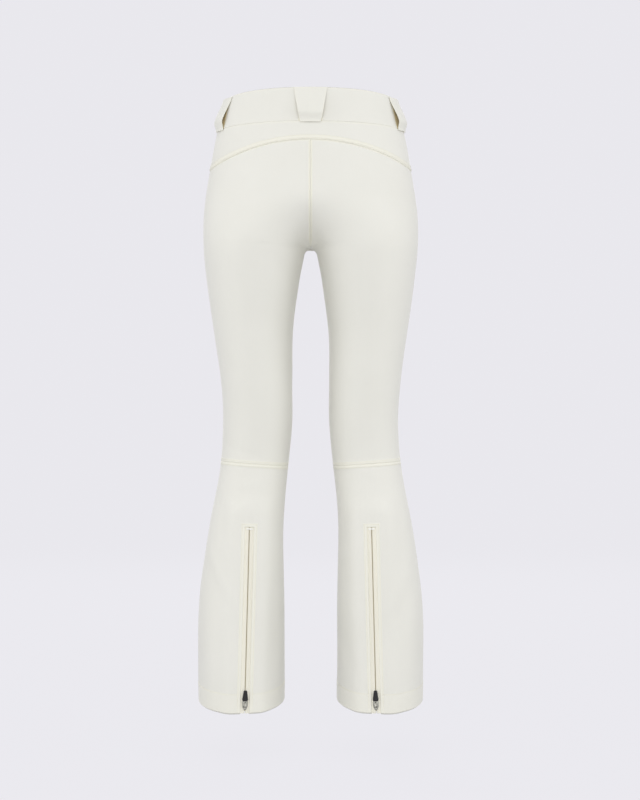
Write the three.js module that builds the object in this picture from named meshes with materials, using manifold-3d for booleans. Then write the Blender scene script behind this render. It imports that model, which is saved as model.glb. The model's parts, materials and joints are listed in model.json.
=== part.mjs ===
// Stretch ski trousers with flared legs, worn shape, in millimetres with +Z up.
// The origin is the middle of the waist opening, level with the back waist edge.
// +Y is the wearer's back and +X the wearer's left, so the fly faces -Y.
import * as THREE from "three";
import { mergeVertices } from "three/addons/utils/BufferGeometryUtils.js";
import Module from "manifold-3d";

const wasm = await Module();
wasm.setup();

// ---- Driving dimensions ----

// The two overall sizes. Heights below are drawn for the first, widths and depths for the second.
const outseam = 1013; // from the level of the waist down to the hem at the side
const hips = 358; // across the seat
const tall = (z) => (z * outseam) / 1013;
const wide = (x) => (x * hips) / 358;

// The figure by height: outer and inner edge of the left leg in X, front and back in Y.
const stations = [
  { z: 20, outer: 137, inner: 0, front: -92, back: 88 }, // above the waist edge
  { z: -60, outer: 156, inner: 0, front: -104, back: 98 }, // waist seam
  { z: -120, outer: 167, inner: 0, front: -108, back: 114 }, // belly
  { z: -200, outer: 178, inner: 1, front: -104, back: 125.5 }, // seat
  { z: -260, outer: 179, inner: 9, front: -99, back: 118 }, // crotch
  { z: -320, outer: 173, inner: 20, front: -95, back: 106 },
  { z: -400, outer: 162, inner: 30, front: -90, back: 89 }, // mid thigh
  { z: -480, outer: 151, inner: 31, front: -84, back: 78 },
  { z: -545, outer: 147, inner: 31, front: -79, back: 69 },
  { z: -620, outer: 151, inner: 38, front: -73, back: 63 }, // knee
  { z: -720, outer: 169, inner: 46, front: -64, back: 80 }, // calf
  { z: -800, outer: 181, inner: 45, front: -71, back: 87.5 },
  { z: -880, outer: 188, inner: 44, front: -83, back: 95 },
  { z: -960, outer: 188.5, inner: 44, front: -94, back: 102.5 },
  { z: -1030, outer: 187.5, inner: 44, front: -103, back: 109 }, // below the hem
].map(({ z, outer, inner, front, back }) => ({
  z: tall(z),
  outer: wide(outer),
  inner: wide(inner),
  front: wide(front),
  back: wide(back),
}));
const fullness = 2.15; // superellipse exponent of every cross-section, 2 is an ellipse
const legBlend = wide(22); // how far the two legs melt into each other at the seat
const seatStart = tall(-270); // legs are separate below this height
const seatFull = { front: tall(-212), back: tall(-172) }; // and one oval above these

const cloth = 1.2; // softshell, two bonded layers
const seamGap = 0.6; // between two panels that are sewn edge to edge
const layerGap = 0.5; // between two layers that lie on each other
const fitGap = 0.3; // between small hard parts that touch

const waistEdge = { mid: tall(-14), tilt: tall(14) }; // height at the side, and how much the back rises above it
const waistSeam = { mid: tall(-65.5), tilt: tall(8.5) };
const waistDepth = wide(95); // half the depth of the waist, where the tilt is reached
const yokeSeam = { back: tall(-87), drop: tall(34), width: wide(150) }; // falls as the square of X
const kneeSeam = { mid: tall(-619), tilt: 4 };
const hem = { mid: -outseam, tilt: 10, facing: 30 };

const calfZip = {
  name: "calf_zip",
  top: { x: wide(100), z: tall(-722) }, // upper end of the window in the cloth
  end: { x: wide(107), z: hem.mid - hem.tilt },
  face: 1,
  window: 15,
  size: 1,
  stopMargin: 13, // from the window's end to the middle of the slider at rest
  tapeStart: 2, // where the tapes begin, from the window's end at the closed slider
};
const pocketZip = {
  name: "pocket_zip",
  top: { x: wide(92), z: tall(-96) },
  end: { x: wide(124), z: tall(-236) },
  face: -1,
  window: 13,
  size: 0.75,
  stopMargin: 13,
  tapeStart: -6,
};
const flyZip = {
  name: "fly_zip",
  top: { x: -6, z: tall(-84) },
  end: { x: -6, z: tall(-204) },
  face: -1,
  size: 0.6,
  depth: 6.2, // the chain lies this far behind the outer surface
  stopMargin: 8,
  tapeStart: 0,
};
const flyEdge = 5; // the right front laps over the left as far as this X
const stripHalf = 14; // the cloth lies flat this far to each side of a zip
const stripReach = 20; // and this far beyond both ends of the zip
const stripBlend = 34;

const tape = { thickness: 0.5, half: 13, face: cloth + fitGap }; // its face is this far below the cloth's
const coil = { gap: 0.6, width: 2.4, height: 1.6 };
const slider = { length: 16, half: 4.6, plate: 1.2, web: 0.3, crown: 3.2, pin: 0.6 };
const pull = { arm: 1, bar: 1.6, reach: 6.2, length: 17.5, base: 9.4, tip: 5.2, thickness: 2 };

const tab = { root: -35, end: 25, rootGap: 1.6, thickness: 2.4, underlap: -30, step: 6 };
const snap = {
  x: 9,
  heights: [tall(-40), tall(-62)],
  cap: { radius: 6, height: 1.4 },
  socket: { radius: 4.6, height: 1.6 },
  stud: { radius: 4.2, height: 0.6 },
  knob: 2.2, // radius of the stud's head
  post: 1.3, // radius of the rivet through the cloth
  play: 0.8, // between the socket and the stud's plate
};
// The end that lies under the tab is this far behind it: the tab, the socket, the play and the stud's plate.
const tabSink = tab.thickness + snap.socket.height + snap.play + snap.stud.height + 2 * fitGap;
const loop = { stand: 8, thickness: 1.8, lie: 0.7, drop: 2, foot: 0.08, rise: 0.2 };
const loops = [
  { name: "center_back", angle: 90, top: 28, bottom: 17.5 }, // degrees round the waist, half widths
  { name: "side_left", angle: 14.5, top: 24, bottom: 19 },
  { name: "side_right", angle: 165.5, top: 24, bottom: 19 },
  { name: "front_left", angle: -62, top: 21, bottom: 17 },
  { name: "front_right", angle: -118, top: 21, bottom: 17 },
];
const facing = { thickness: 0.8, inset: 1, clear: 2 }; // inner layer of the waistband
const gaiter = { top: tall(-688), free: tall(-710), end: tall(-940), sewn: 5, clear: 10, inset: 22, elastic: 22 };
const pocketBag = { inner: wide(64), outer: wide(146), top: tall(-84), end: tall(-248), depth: 5.8, thickness: 1.6 };
const flyShield = { left: 26, right: -24, top: tall(-76), end: tall(-216), depth: 15, thickness: 1.4 };
const underlap = { half: 17, depth: 6.2, thickness: 1 }; // strip behind a calf zip

// How finely the cloth is faceted: columns in half a leg, and heights of rows about the crotch.
const columns = 10;
const crotchSteps = [62, 38, 20, 9, 3, 0.2, -4, -14, -34, -66];
const bandRows = 3;
const thighRows = 7;
const calfRows = 11;
const rowsAboveZip = 3;
const zipRow = calfZip.top.z + 12; // a row of points lies just above the calf zip

// ---- The figure's surface ----

const mix = (a, b, t) => a + (b - a) * t;
const clamp01 = (t) => Math.min(1, Math.max(0, t));
const smooth = (from, to, x) => {
  const t = clamp01((x - from) / (to - from));
  return t * t * (3 - 2 * t);
};

// Slope of one measure at a station, from its neighbours.
function slope(key, i) {
  const a = stations[Math.max(0, i - 1)];
  const b = stations[Math.min(stations.length - 1, i + 1)];
  return (b[key] - a[key]) / (b.z - a.z);
}

// One measure at any height: a cubic through the stations.
function measure(key, z) {
  let i = stations.findIndex((s) => s.z <= z) - 1;
  if (i < 0) i = z > stations[0].z ? 0 : stations.length - 2;
  const [a, b] = [stations[i], stations[i + 1]];
  const h = b.z - a.z;
  const t = (z - a.z) / h;
  const near = (1 + 2 * t) * (1 - t) ** 2 * a[key] + t * (1 - t) ** 2 * h * slope(key, i);
  const far = t * t * (3 - 2 * t) * b[key] + t * t * (t - 1) * h * slope(key, i + 1);
  return near + far;
}

// Everything that the cross-section at one height needs.
function section(z) {
  const [outer, inner, front, back] = ["outer", "inner", "front", "back"].map((k) => measure(k, z));
  return {
    outer,
    cx: (outer + inner) / 2,
    a: (outer - inner) / 2,
    cy: (front + back) / 2,
    b: (back - front) / 2,
    seatFront: smooth(seatStart, seatFull.front, z),
    seatBack: smooth(seatStart, seatFull.back, z),
  };
}

// Negative inside the figure, positive outside.
function field(s, x, y) {
  const v = Math.abs(y - s.cy) / s.b;
  const oval = (u) => ((Math.abs(u) ** fullness + v ** fullness) ** (1 / fullness) - 1) * s.a;
  const left = oval((x - s.cx) / s.a);
  const right = oval((x + s.cx) / s.a);
  const near = Math.max(legBlend - Math.abs(left - right), 0) / legBlend;
  const legs = Math.min(left, right) - (near * near * legBlend) / 4;
  const seat = mix(s.seatFront, s.seatBack, smooth(-60, 60, y - s.cy));
  return mix(legs, oval(x / s.outer), seat);
}

// Distance along a ray, in units of its direction, at which it leaves the figure.
function leave(s, x, y, dx, dy, limit = 2) {
  let [inside, outside] = [0, limit];
  for (let i = 0; i < 40; i++) {
    const t = (inside + outside) / 2;
    if (field(s, x + t * dx, y + t * dy) < 0) inside = t;
    else outside = t;
  }
  return inside;
}

// Height of the crotch point, where the space between the legs ends.
function crotchHeight() {
  let [open, closed] = [seatStart - 60, seatFull.back];
  for (let i = 0; i < 40; i++) {
    const z = (open + closed) / 2;
    const s = section(z);
    if (field(s, 0, s.cy) > 0) open = z;
    else closed = z;
  }
  return closed;
}
const crotch = crotchHeight();

// Y of the front (face -1) or back (face 1) of the figure at X and Z, before any strip is laid flat.
function faceY(x, z, face) {
  const s = section(z);
  return s.cy + face * s.b * leave(s, x, s.cy, 0, face * s.b);
}

// A zip holds the cloth flat around it: the plane of that strip, on one side of the body.
function strip(zip, side) {
  const { top, end, face } = zip;
  const [yTop, yEnd] = [top, end].map((p) => faceY(side * p.x, p.z, face));
  const middle = { x: (side * (top.x + end.x)) / 2, z: (top.z + end.z) / 2 };
  const lean = (faceY(middle.x + 8, middle.z, face) - faceY(middle.x - 8, middle.z, face)) / 16;
  const share = (z) => (z - top.z) / (end.z - top.z);
  const xAt = (z) => side * mix(top.x, end.x, share(z));
  return {
    zip,
    face,
    side,
    xAt,
    yAt: (x, z) => mix(yTop, yEnd, share(z)) + lean * (x - xAt(z)),
    // 1 on the strip, falling to 0 at its sides and beyond its ends
    hold: (x, z) =>
      (1 - smooth(stripHalf, stripHalf + stripBlend, Math.abs(x - xAt(z)))) *
      (1 - smooth(stripReach, stripReach + stripBlend, z - top.z)) *
      (1 - smooth(stripReach, stripReach + stripBlend, end.z - z)),
  };
}
const strips = [calfZip, pocketZip].flatMap((zip) => [strip(zip, 1), strip(zip, -1)]);
const stripOf = (zip, side) => strips.find((s) => s.zip === zip && s.side === side) ?? strip(zip, side);

// Lays a point of the figure on the flat strips, and finds the outward normal there.
function onCloth(x, y, z) {
  const s = section(z);
  const e = 0.5;
  const normal = new THREE.Vector3(
    field(s, x + e, y) - field(s, x - e, y),
    field(s, x, y + e) - field(s, x, y - e),
    field(section(z + e), x, y) - field(section(z - e), x, y),
  ).normalize();
  const p = new THREE.Vector3(x, y, z);
  for (const t of strips) {
    if ((y - s.cy) * t.face < 0) continue;
    const hold = t.hold(x, z);
    if (hold === 0) continue;
    const flat = new THREE.Vector3(
      t.yAt(x + 1, z) - t.yAt(x, z),
      -1,
      t.yAt(x, z + 1) - t.yAt(x, z),
    ).multiplyScalar(-t.face);
    normal.lerp(flat.normalize(), hold).normalize();
    p.y = mix(p.y, t.yAt(x, z), hold);
  }
  return { p, n: normal };
}

// Angle about a leg's middle at which its cloth is at X, measured outwards from the body's middle.
// Angles are in radians: 0 is the outer side, a quarter turn is the back or the front.
const angleAt = (s, x, face) => Math.atan2(leave(s, x, s.cy, 0, face * s.b), (x - s.cx) / s.a);

function onLeg(side, face, angle, z) {
  const s = section(z);
  const [dx, dy] = [side * s.a * Math.cos(angle), face * s.b * Math.sin(angle)];
  // A ray towards the other leg ends at the body's middle, or just past it where the fronts lap.
  const reach = z > crotch ? s.cx + 2 * flyEdge : s.cx;
  const t = leave(s, side * s.cx, s.cy, dx, dy, side * dx < 0 ? Math.min(2, reach / Math.abs(dx)) : 2);
  return onCloth(side * s.cx + t * dx, s.cy + t * dy, z);
}

// The same about the middle of the whole body, where the angle goes on from side to side.
const bodyAngleAt = (s, x, face) => Math.atan2(face * leave(s, x, s.cy, 0, face * s.b), x / s.outer);

function onBody(angle, z) {
  const s = section(z);
  const [dx, dy] = [s.outer * Math.cos(angle), s.b * Math.sin(angle)];
  const t = leave(s, 0, s.cy, dx, dy);
  return onCloth(t * dx, s.cy + t * dy, z);
}

// A value between listed stops, each [share, value].
function between(stops, t) {
  let i = 1;
  while (i < stops.length - 1 && t > stops[i][0]) i++;
  const [[t0, a], [t1, b]] = [stops[i - 1], stops[i]];
  return mix(a, b, (t - t0) / (t1 - t0));
}

// X at which the two fronts meet: the right one laps over the left along the fly.
const flyBorder = (z) => flyEdge * smooth(flyZip.end.z - 22, flyZip.end.z - 4, z);

// A point of a leg's front or back half. f runs from 0 at the side seam to 1 at the inner seam,
// which is the inseam below the crotch and the rise above it. Columns of points follow a zip's strip.
function onHalf(side, face, f, z, whole = false) {
  const s = section(z);
  const margin = seamGap / 2 / Math.min(s.a, s.b);
  const edge = face < 0 ? side * flyBorder(z) : 0;
  const last = z > crotch ? angleAt(s, edge, face) : Math.PI - margin;
  const zip = face < 0 ? pocketZip : z < kneeSeam.mid + 20 ? calfZip : null;
  const stops = [[0, margin]];
  if (zip) {
    const x = between([[zip.end.z, zip.end.x], [zip.top.z, zip.top.x]], Math.min(zip.top.z, Math.max(zip.end.z, z)));
    stops.push([0.4, angleAt(s, x + stripHalf, face)], [0.6, angleAt(s, x - stripHalf, face)]);
  }
  stops.push([1, last]);
  const point = onLeg(side, face, between(stops, f), z);
  const inner = whole ? 0 : edge + seamGap / 2;
  if (side * point.p.x < inner || (f === 1 && z > crotch)) point.p.x = side * inner;
  if (f === 1 && z > crotch && edge === 0) point.n.setX(0).normalize();
  return point;
}

// ---- Heights of the seams ----

const planeHeight = (plane) => (p) => plane.mid + (plane.tilt * p.y) / waistDepth;
const yokeHeight = (p) => yokeSeam.back - yokeSeam.drop * (p.x / yokeSeam.width) ** 2;
const kneeHeight = (p) => {
  const s = section(kneeSeam.mid);
  return kneeSeam.mid + (kneeSeam.tilt * (Math.abs(p.x) - s.cx)) / s.a;
};
const hemHeight = (p) => {
  const s = section(hem.mid);
  return hem.mid - (hem.tilt * (p.y - s.cy)) / s.b;
};

// Height at which a line up the cloth meets a seam, whose height depends on the point.
function meet(pointAt, heightOf, shift = 0) {
  let z = heightOf({ x: 0, y: 0 }) + shift;
  for (let i = 0; i < 8; i++) z = heightOf(pointAt(z).p) + shift;
  return z;
}

// Fills the cloth between two seams: at(u, z) gives its points, and the result takes shares of its height.
// Fixed heights between the seams are listed as [share, height].
function betweenSeams(at, top, bottom, fixed = []) {
  const ends = new Map();
  return (u, v) => {
    if (!ends.has(u)) ends.set(u, [top, bottom].map(([height, shift]) => meet((z) => at(u, z), height, shift)));
    const [high, low] = ends.get(u);
    return at(u, between([[0, high], ...fixed, [1, low]], v));
  };
}

// Rows of points close together about the crotch, where the legs part, then down to the knee seam,
// and on below it where a panel runs that far.
function legRows(above, belowKnee = 0) {
  const atKnee = above + crotchSteps.length - 1 + thighRows;
  const rows = atKnee + belowKnee;
  const fixed = crotchSteps.map((step, i) => [(above + i) / rows, crotch + step]);
  if (belowKnee) fixed.push([atKnee / rows, kneeSeam.mid], [(atKnee + rowsAboveZip) / rows, zipRow]);
  return { rows, fixed };
}

// ---- Solids ----

function toSolid(geometry) {
  const bare = new THREE.BufferGeometry().setAttribute("position", geometry.getAttribute("position"));
  if (geometry.index) bare.setIndex(geometry.index);
  const merged = mergeVertices(bare, 1e-4);
  const mesh = new wasm.Mesh({
    numProp: 3,
    vertProperties: merged.attributes.position.array,
    triVerts: new Uint32Array(merged.index.array),
  });
  return new wasm.Manifold(mesh);
}

function toGeometry(solid) {
  const mesh = solid.getMesh();
  return new THREE.BufferGeometry()
    .setAttribute("position", new THREE.BufferAttribute(mesh.vertProperties, 3))
    .setIndex(new THREE.BufferAttribute(mesh.triVerts, 1));
}

const joined = (...geometries) => toGeometry(geometries.map(toSolid).reduce((a, b) => a.add(b)));
const cut = (geometry, ...tools) =>
  toGeometry(tools.map(toSolid).reduce((a, b) => a.subtract(b), toSolid(geometry)));

// A box given by its lowest and highest corners.
function box(low, high) {
  const size = high.map((h, i) => h - low[i]);
  const geometry = new THREE.BoxGeometry(...size);
  return geometry.translate(...low.map((l, i) => l + size[i] / 2));
}

// A cylinder along Z between two heights.
function disc(radius, low, high, sides = 16) {
  const geometry = new THREE.CylinderGeometry(radius, radius, high - low, sides);
  return geometry.rotateX(Math.PI / 2).translate(0, 0, (low + high) / 2);
}

// A closed layer of cloth. at(u, v) gives { p, n }; the layer lies depth below p and is thickness deep.
// With ring set, u runs all the way round.
function layer(at, cols, rows, { depth = 0, thickness = cloth, ring = false } = {}) {
  const across = ring ? cols : cols + 1;
  const points = [];
  for (const side of [0, 1]) {
    for (let j = 0; j <= rows; j++) {
      for (let i = 0; i < across; i++) {
        const { p, n } = at(i / cols, j / rows);
        const sink = typeof depth === "function" ? depth(p) : depth;
        points.push(...p.clone().addScaledVector(n, -sink - side * thickness).toArray());
      }
    }
  }
  const id = (side, i, j) => (side * (rows + 1) + j) * across + (i % across);
  const faces = [];
  const quad = (a, b, c, d) => faces.push(a, b, c, a, c, d);
  for (let j = 0; j < rows; j++) {
    for (let i = 0; i < cols; i++) {
      quad(id(0, i, j), id(0, i + 1, j), id(0, i + 1, j + 1), id(0, i, j + 1));
      quad(id(1, i, j), id(1, i, j + 1), id(1, i + 1, j + 1), id(1, i + 1, j));
    }
    if (!ring) {
      quad(id(0, 0, j), id(0, 0, j + 1), id(1, 0, j + 1), id(1, 0, j));
      quad(id(0, cols, j), id(1, cols, j), id(1, cols, j + 1), id(0, cols, j + 1));
    }
  }
  for (let i = 0; i < cols; i++) {
    quad(id(0, i, 0), id(1, i, 0), id(1, i + 1, 0), id(0, i + 1, 0));
    quad(id(0, i, rows), id(0, i + 1, rows), id(1, i + 1, rows), id(1, i, rows));
  }
  return outward(points, faces);
}

// A geometry from points and faces, turned the right way out.
function outward(points, faces) {
  const at = (i) => new THREE.Vector3().fromArray(points, 3 * i);
  let volume = 0;
  for (let i = 0; i < faces.length; i += 3) {
    volume += at(faces[i]).dot(at(faces[i + 1]).cross(at(faces[i + 2])));
  }
  if (volume < 0) faces.reverse();
  return new THREE.BufferGeometry()
    .setAttribute("position", new THREE.Float32BufferAttribute(points, 3))
    .setIndex(faces);
}

// ---- Materials and the tree ----

const material = (color, roughness, metalness = 0) =>
  new THREE.MeshStandardMaterial({ color, roughness, metalness });
const softshell = material(0xe6e6df, 0.85);
const lining = material(0xdcdcd4, 0.95);
const elastic = material(0xd6d6ce, 0.9);
const zipTape = material(0xe8e6d8, 0.8);
const gunmetal = material(0x6b6c6a, 0.35, 0.9);
const rubber = material(0x1c1c1e, 0.5);

const trousers = new THREE.Group();

function add(name, geometry, finish, parent = trousers) {
  const mesh = new THREE.Mesh(geometry, finish);
  mesh.name = name;
  parent.add(mesh);
  return mesh;
}
const sides = [
  ["left", 1],
  ["right", -1],
];

// ---- Cloth ----

function panel(name, side, face, top, bottom, { rows, fixed }, windows = []) {
  const at = betweenSeams((u, z) => onHalf(side, face, u, z), top, bottom, fixed);
  const cloth = layer(at, columns, rows);
  add(name, windows.length ? cut(cloth, ...windows) : cloth, softshell);
}

// The yoke runs over the back from side seam to side seam.
function yoke() {
  const at = (u, z) => onHalf(u < 0.5 ? 1 : -1, 1, u < 0.5 ? 2 * u : 2 - 2 * u, z, true);
  const ends = [[planeHeight(waistSeam), -seamGap / 2], [yokeHeight, seamGap / 2]];
  add("back_yoke", layer(betweenSeams(at, ...ends), 2 * columns, 3), softshell);
}

// A stretch of the waistband between two angles about the body, given as functions of the height.
function band(name, from, to, cols, options, finish = softshell, inset = 0) {
  const at = (u, z) => onBody(mix(from(z), to(z), u), z);
  const ends = [[planeHeight(waistEdge), -inset], [planeHeight(waistSeam), seamGap / 2 + inset]];
  return add(name, layer(betweenSeams(at, ...ends), cols, bandRows, options), finish);
}
const frontAngle = (x) => (z) => bodyAngleAt(section(z), x, -1);
const bandMargin = seamGap / 2 / waistDepth; // half a seam's gap as an angle
const stepStart = tab.end + 2 + tab.step; // X at which the left end starts to dive under the tab

function waistband() {
  band("waistband_back", () => bandMargin, () => Math.PI - bandMargin, 16);
  band("waistband_front_right", () => bandMargin - Math.PI, frontAngle(tab.root - tab.rootGap / 2), 6);
  const dive = (p) => tabSink * clamp01((stepStart - p.x) / tab.step);
  const stops = (z) => [
    [0, -bandMargin],
    [0.5, frontAngle(stepStart)(z)],
    [0.6, frontAngle(stepStart - tab.step)(z)],
    [1, frontAngle(tab.underlap)(z)],
  ];
  const left = (u, z) => onBody(between(stops(z), u), z);
  const ends = [[planeHeight(waistEdge), 0], [planeHeight(waistSeam), seamGap / 2]];
  const cloth = layer(betweenSeams(left, ...ends), 10, bandRows, { depth: dive });
  add("waistband_front_left", cut(cloth, ...snapHoles()), softshell);
}

function waistTab() {
  const mesh = band("waistband_tab", frontAngle(tab.root + tab.rootGap / 2), frontAngle(tab.end), 4, {
    thickness: tab.thickness,
  });
  mesh.geometry = cut(mesh.geometry, ...snapHoles());
}

// The inner layer of the waistband, with its columns behind the outer one's.
function waistFacing() {
  const stops = (z) => [
    [0, frontAngle(stepStart + facing.clear)(z)],
    [5 / 27, -bandMargin],
    [21 / 27, Math.PI + bandMargin],
    [1, 2 * Math.PI + frontAngle(tab.root - tab.rootGap)(z)],
  ];
  const at = (u, z) => onBody(between(stops(z), u), z);
  const ends = [[planeHeight(waistEdge), -facing.inset], [planeHeight(waistSeam), facing.inset]];
  const options = { depth: cloth + 2 * layerGap, thickness: facing.thickness };
  add("waistband_facing", layer(betweenSeams(at, ...ends), 27, bandRows, options), lining);
}

// A belt loop: a tapered strap that lies on the band at both ends and stands off between them.
function beltLoop({ name, angle, top, bottom }) {
  const profile = [
    [0, loop.lie],
    [loop.foot, loop.lie],
    [loop.rise, loop.stand],
    [1 - loop.rise, loop.stand],
    [1 - loop.foot, loop.lie],
    [1, loop.lie],
  ];
  const middle = THREE.MathUtils.degToRad(angle);
  const ends = [
    meet((z) => onBody(middle, z), planeHeight(waistEdge)),
    meet((z) => onBody(middle, z), planeHeight(waistSeam), -loop.drop),
  ];
  const at = (u, v) => {
    const share = profile[Math.round(v * (profile.length - 1))][0];
    const z = mix(...ends, share);
    const span = onBody(middle + 0.1, z).p.distanceTo(onBody(middle - 0.1, z).p);
    const turn = (0.2 * mix(top, bottom, share)) / span;
    const point = onBody(middle + (2 * u - 1) * turn, z);
    point.p.addScaledVector(point.n, between(profile, share) + loop.thickness);
    return point;
  };
  add("belt_loop_" + name, layer(at, 6, profile.length - 1, { thickness: loop.thickness }), softshell);
}

// A closed ring of points round one leg, on the same columns as its panels.
const aroundLeg = (side) => (u, z) =>
  u < 0.5 || u === 1 ? onHalf(side, 1, u === 1 ? 0 : 2 * u, z) : onHalf(side, -1, 2 - 2 * u, z);

function hemFacing(label, side, frame) {
  const at = betweenSeams(aroundLeg(side), [hemHeight, hem.facing], [hemHeight, 1]);
  const ring = layer(at, 2 * columns, 1, { depth: cloth + layerGap, thickness: facing.thickness, ring: true });
  add("hem_facing_" + label, cut(ring, windowTool(frame, tape.half + 2, -60, 60)), lining);
}

// The snow gaiter: sewn to the cloth at its top, it hangs free inside and ends in an elastic.
function snowGaiter(label, side) {
  const depth = (p) =>
    between([[gaiter.end, gaiter.inset], [gaiter.free, gaiter.clear], [gaiter.top, gaiter.sewn]], p.z);
  const tube = (top, bottom) => (u, v) => aroundLeg(side)(u, mix(top, bottom, v));
  const sleeve = layer(tube(gaiter.top, gaiter.end), 2 * columns, 5, { depth, thickness: 0.8, ring: true });
  add("snow_gaiter_" + label, sleeve, lining);
  const end = gaiter.end - seamGap;
  const ring = { depth: gaiter.inset - 0.5, thickness: 2, ring: true };
  add("gaiter_elastic_" + label, layer(tube(end, end - gaiter.elastic), 2 * columns, 1, ring), elastic);
}

// ---- Zips ----

// The frame of a zip: X across it, Y the way its slider opens it, Z out of the cloth.
// Its origin is on the cloth's surface at the middle of the slider when the zip is closed.
function zipFrame(zip, side, opensUp = false) {
  const plane = stripOf(zip, side);
  const on = ({ z }) => new THREE.Vector3(plane.xAt(z), plane.yAt(plane.xAt(z), z), z);
  const [start, finish] = opensUp ? [on(zip.end), on(zip.top)] : [on(zip.top), on(zip.end)];
  const along = finish.clone().sub(start).normalize();
  const level = new THREE.Vector3(1, plane.yAt(1, 0) - plane.yAt(0, 0), 0);
  const out = level.cross(along).normalize();
  if (out.y * zip.face < 0) out.negate();
  const across = along.clone().cross(out);
  const origin = start.clone().addScaledVector(along, zip.stopMargin).addScaledVector(out, -(zip.depth ?? 0));
  const group = new THREE.Group();
  new THREE.Matrix4().makeBasis(across, along, out).setPosition(origin).decompose(
    group.position,
    group.quaternion,
    group.scale,
  );
  group.updateMatrix();
  trousers.add(group);
  // Both ends of the window along the zip, measured from the origin.
  return { group, low: -zip.stopMargin, high: start.distanceTo(finish) - zip.stopMargin, across };
}

// A box in a zip's frame, in the body's own coordinates: a window in the cloth around the zip.
const windowTool = (frame, half, low, high) =>
  box([-half, low, -40], [half, high, 12]).applyMatrix4(frame.group.matrix);

// One tape with its coil. hand is 1 or -1 for the side of the zip that it lies on.
function stringer(hand, size, low, high) {
  const [face, back] = [-tape.face, -tape.face - tape.thickness];
  const [inner, outer] = [coil.gap, coil.gap + coil.width * size];
  const under = back - coil.height * size;
  const half = tape.half * mix(size, 1, 0.5);
  const outline = [[inner, face], [inner, under], [outer, under], [outer, back], [half, back], [half, face]];
  const shape = new THREE.Shape(outline.map(([x, z]) => new THREE.Vector2(hand * x, z)));
  const geometry = new THREE.ExtrudeGeometry(shape, { depth: high - low, bevelEnabled: false });
  return geometry.rotateX(Math.PI / 2).translate(0, high, 0);
}

// A shape drawn in Y and Z, as thick as twice half across X.
const sideways = (shape, half) =>
  new THREE.ExtrudeGeometry(shape, { depth: 2 * half, bevelEnabled: false, curveSegments: 4 })
    .translate(0, 0, -half)
    .applyMatrix4(new THREE.Matrix4(0, 0, 1, 0, 1, 0, 0, 0, 0, 1, 0, 0, 0, 0, 0, 1));

const pinHeight = (size) => fitGap - tape.face + (slider.plate + slider.crown * 0.5) * size;

// The slider: two plates joined by a web that runs between the coils, and a bridge for the pull.
function sliderBody(size) {
  const [half, end, plate] = [slider.half, slider.length / 2, slider.plate].map((v) => v * size);
  const top = fitGap - tape.face;
  const floor = -tape.face - tape.thickness - coil.height * size - fitGap;
  const outline = [[-0.7, -1], [0.7, -1], [1, -0.3], [1, 0.75], [0.75, 1], [-0.75, 1], [-1, 0.75], [-1, -0.3]];
  const shape = new THREE.Shape(outline.map(([x, y]) => new THREE.Vector2(x * half, y * end)));
  const plateAt = (z) =>
    new THREE.ExtrudeGeometry(shape, { depth: plate, bevelEnabled: false }).translate(0, 0, z);
  const web = box([-slider.web, -end * 0.9, floor - plate / 2], [slider.web, end * 0.9, top + plate / 2]);
  const crown = slider.crown * size;
  const arch = new THREE.Shape();
  arch.moveTo(-end * 0.55, -plate / 2).lineTo(end * 0.55, -plate / 2).lineTo(end * 0.3, crown).lineTo(-end * 0.3, crown);
  arch.holes.push(new THREE.Path().absarc(0, crown / 2, slider.pin * size + fitGap, 0, 2 * Math.PI));
  const bridge = sideways(arch, size).translate(0, 0, top + plate);
  return joined(plateAt(top), plateAt(floor - plate), web, bridge);
}

// The pull's metal link: a pin through the slider's bridge, two arms and a cross bar.
function pullLink(size) {
  const [pin, arm, reach] = [slider.pin, pull.arm, pull.reach].map((v) => v * size);
  const inner = size + fitGap;
  const rod = new THREE.CylinderGeometry(pin, pin, 2 * (inner + arm / 2), 8).rotateZ(Math.PI / 2);
  const arms = [-1, 1].map((hand) => {
    const [a, b] = [hand * inner, hand * (inner + arm)];
    return box([Math.min(a, b), -pin, -pin], [Math.max(a, b), reach, pin]);
  });
  const bar = box([-inner - arm / 2, reach - pull.bar * size, -pin], [inner + arm / 2, reach, pin]);
  return joined(rod, ...arms, bar).translate(0, 0, pinHeight(size));
}

// The moulded tab on the link's end.
function pullTab(size) {
  const [start, end] = [pull.reach * size + fitGap, (pull.reach + pull.length) * size];
  const [base, tip, half] = [pull.base / 2, pull.tip / 2, pull.thickness / 2].map((v) => v * size);
  const shape = new THREE.Shape();
  shape.moveTo(-base, start).lineTo(base, start).lineTo(tip, end).lineTo(-tip, end);
  const geometry = new THREE.ExtrudeGeometry(shape, { depth: 2 * half, bevelEnabled: false });
  return geometry.translate(0, 0, pinHeight(size) - half);
}

// A bar across both tapes that stops the slider.
function stopBar(size, y) {
  const half = (coil.gap + coil.width) * size;
  const face = fitGap - tape.face;
  return box([-half, y, face], [half, y + 2.4 * size, face + 0.9 * size]);
}

function zipParts(zip, side, suffix, hands) {
  const frame = zipFrame(zip, side, zip === calfZip);
  const { group, low, high, across } = frame;
  // The tape on the +X side of the body takes the first of the two names.
  const first = across.x > 0 ? 1 : -1;
  const tapeEnd = high + 3;
  for (const [i, hand] of [first, -first].entries()) {
    const body = stringer(hand, zip.size, low + zip.tapeStart, tapeEnd);
    add(`${zip.name}_tape_${hands[i]}${suffix}`, body, zipTape, group);
  }
  add(`${zip.name}_slider${suffix}`, sliderBody(zip.size), gunmetal, group);
  add(`${zip.name}_link${suffix}`, pullLink(zip.size), gunmetal, group);
  add(`${zip.name}_pull${suffix}`, pullTab(zip.size), rubber, group);
  return frame;
}

// ---- Snaps ----

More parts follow.
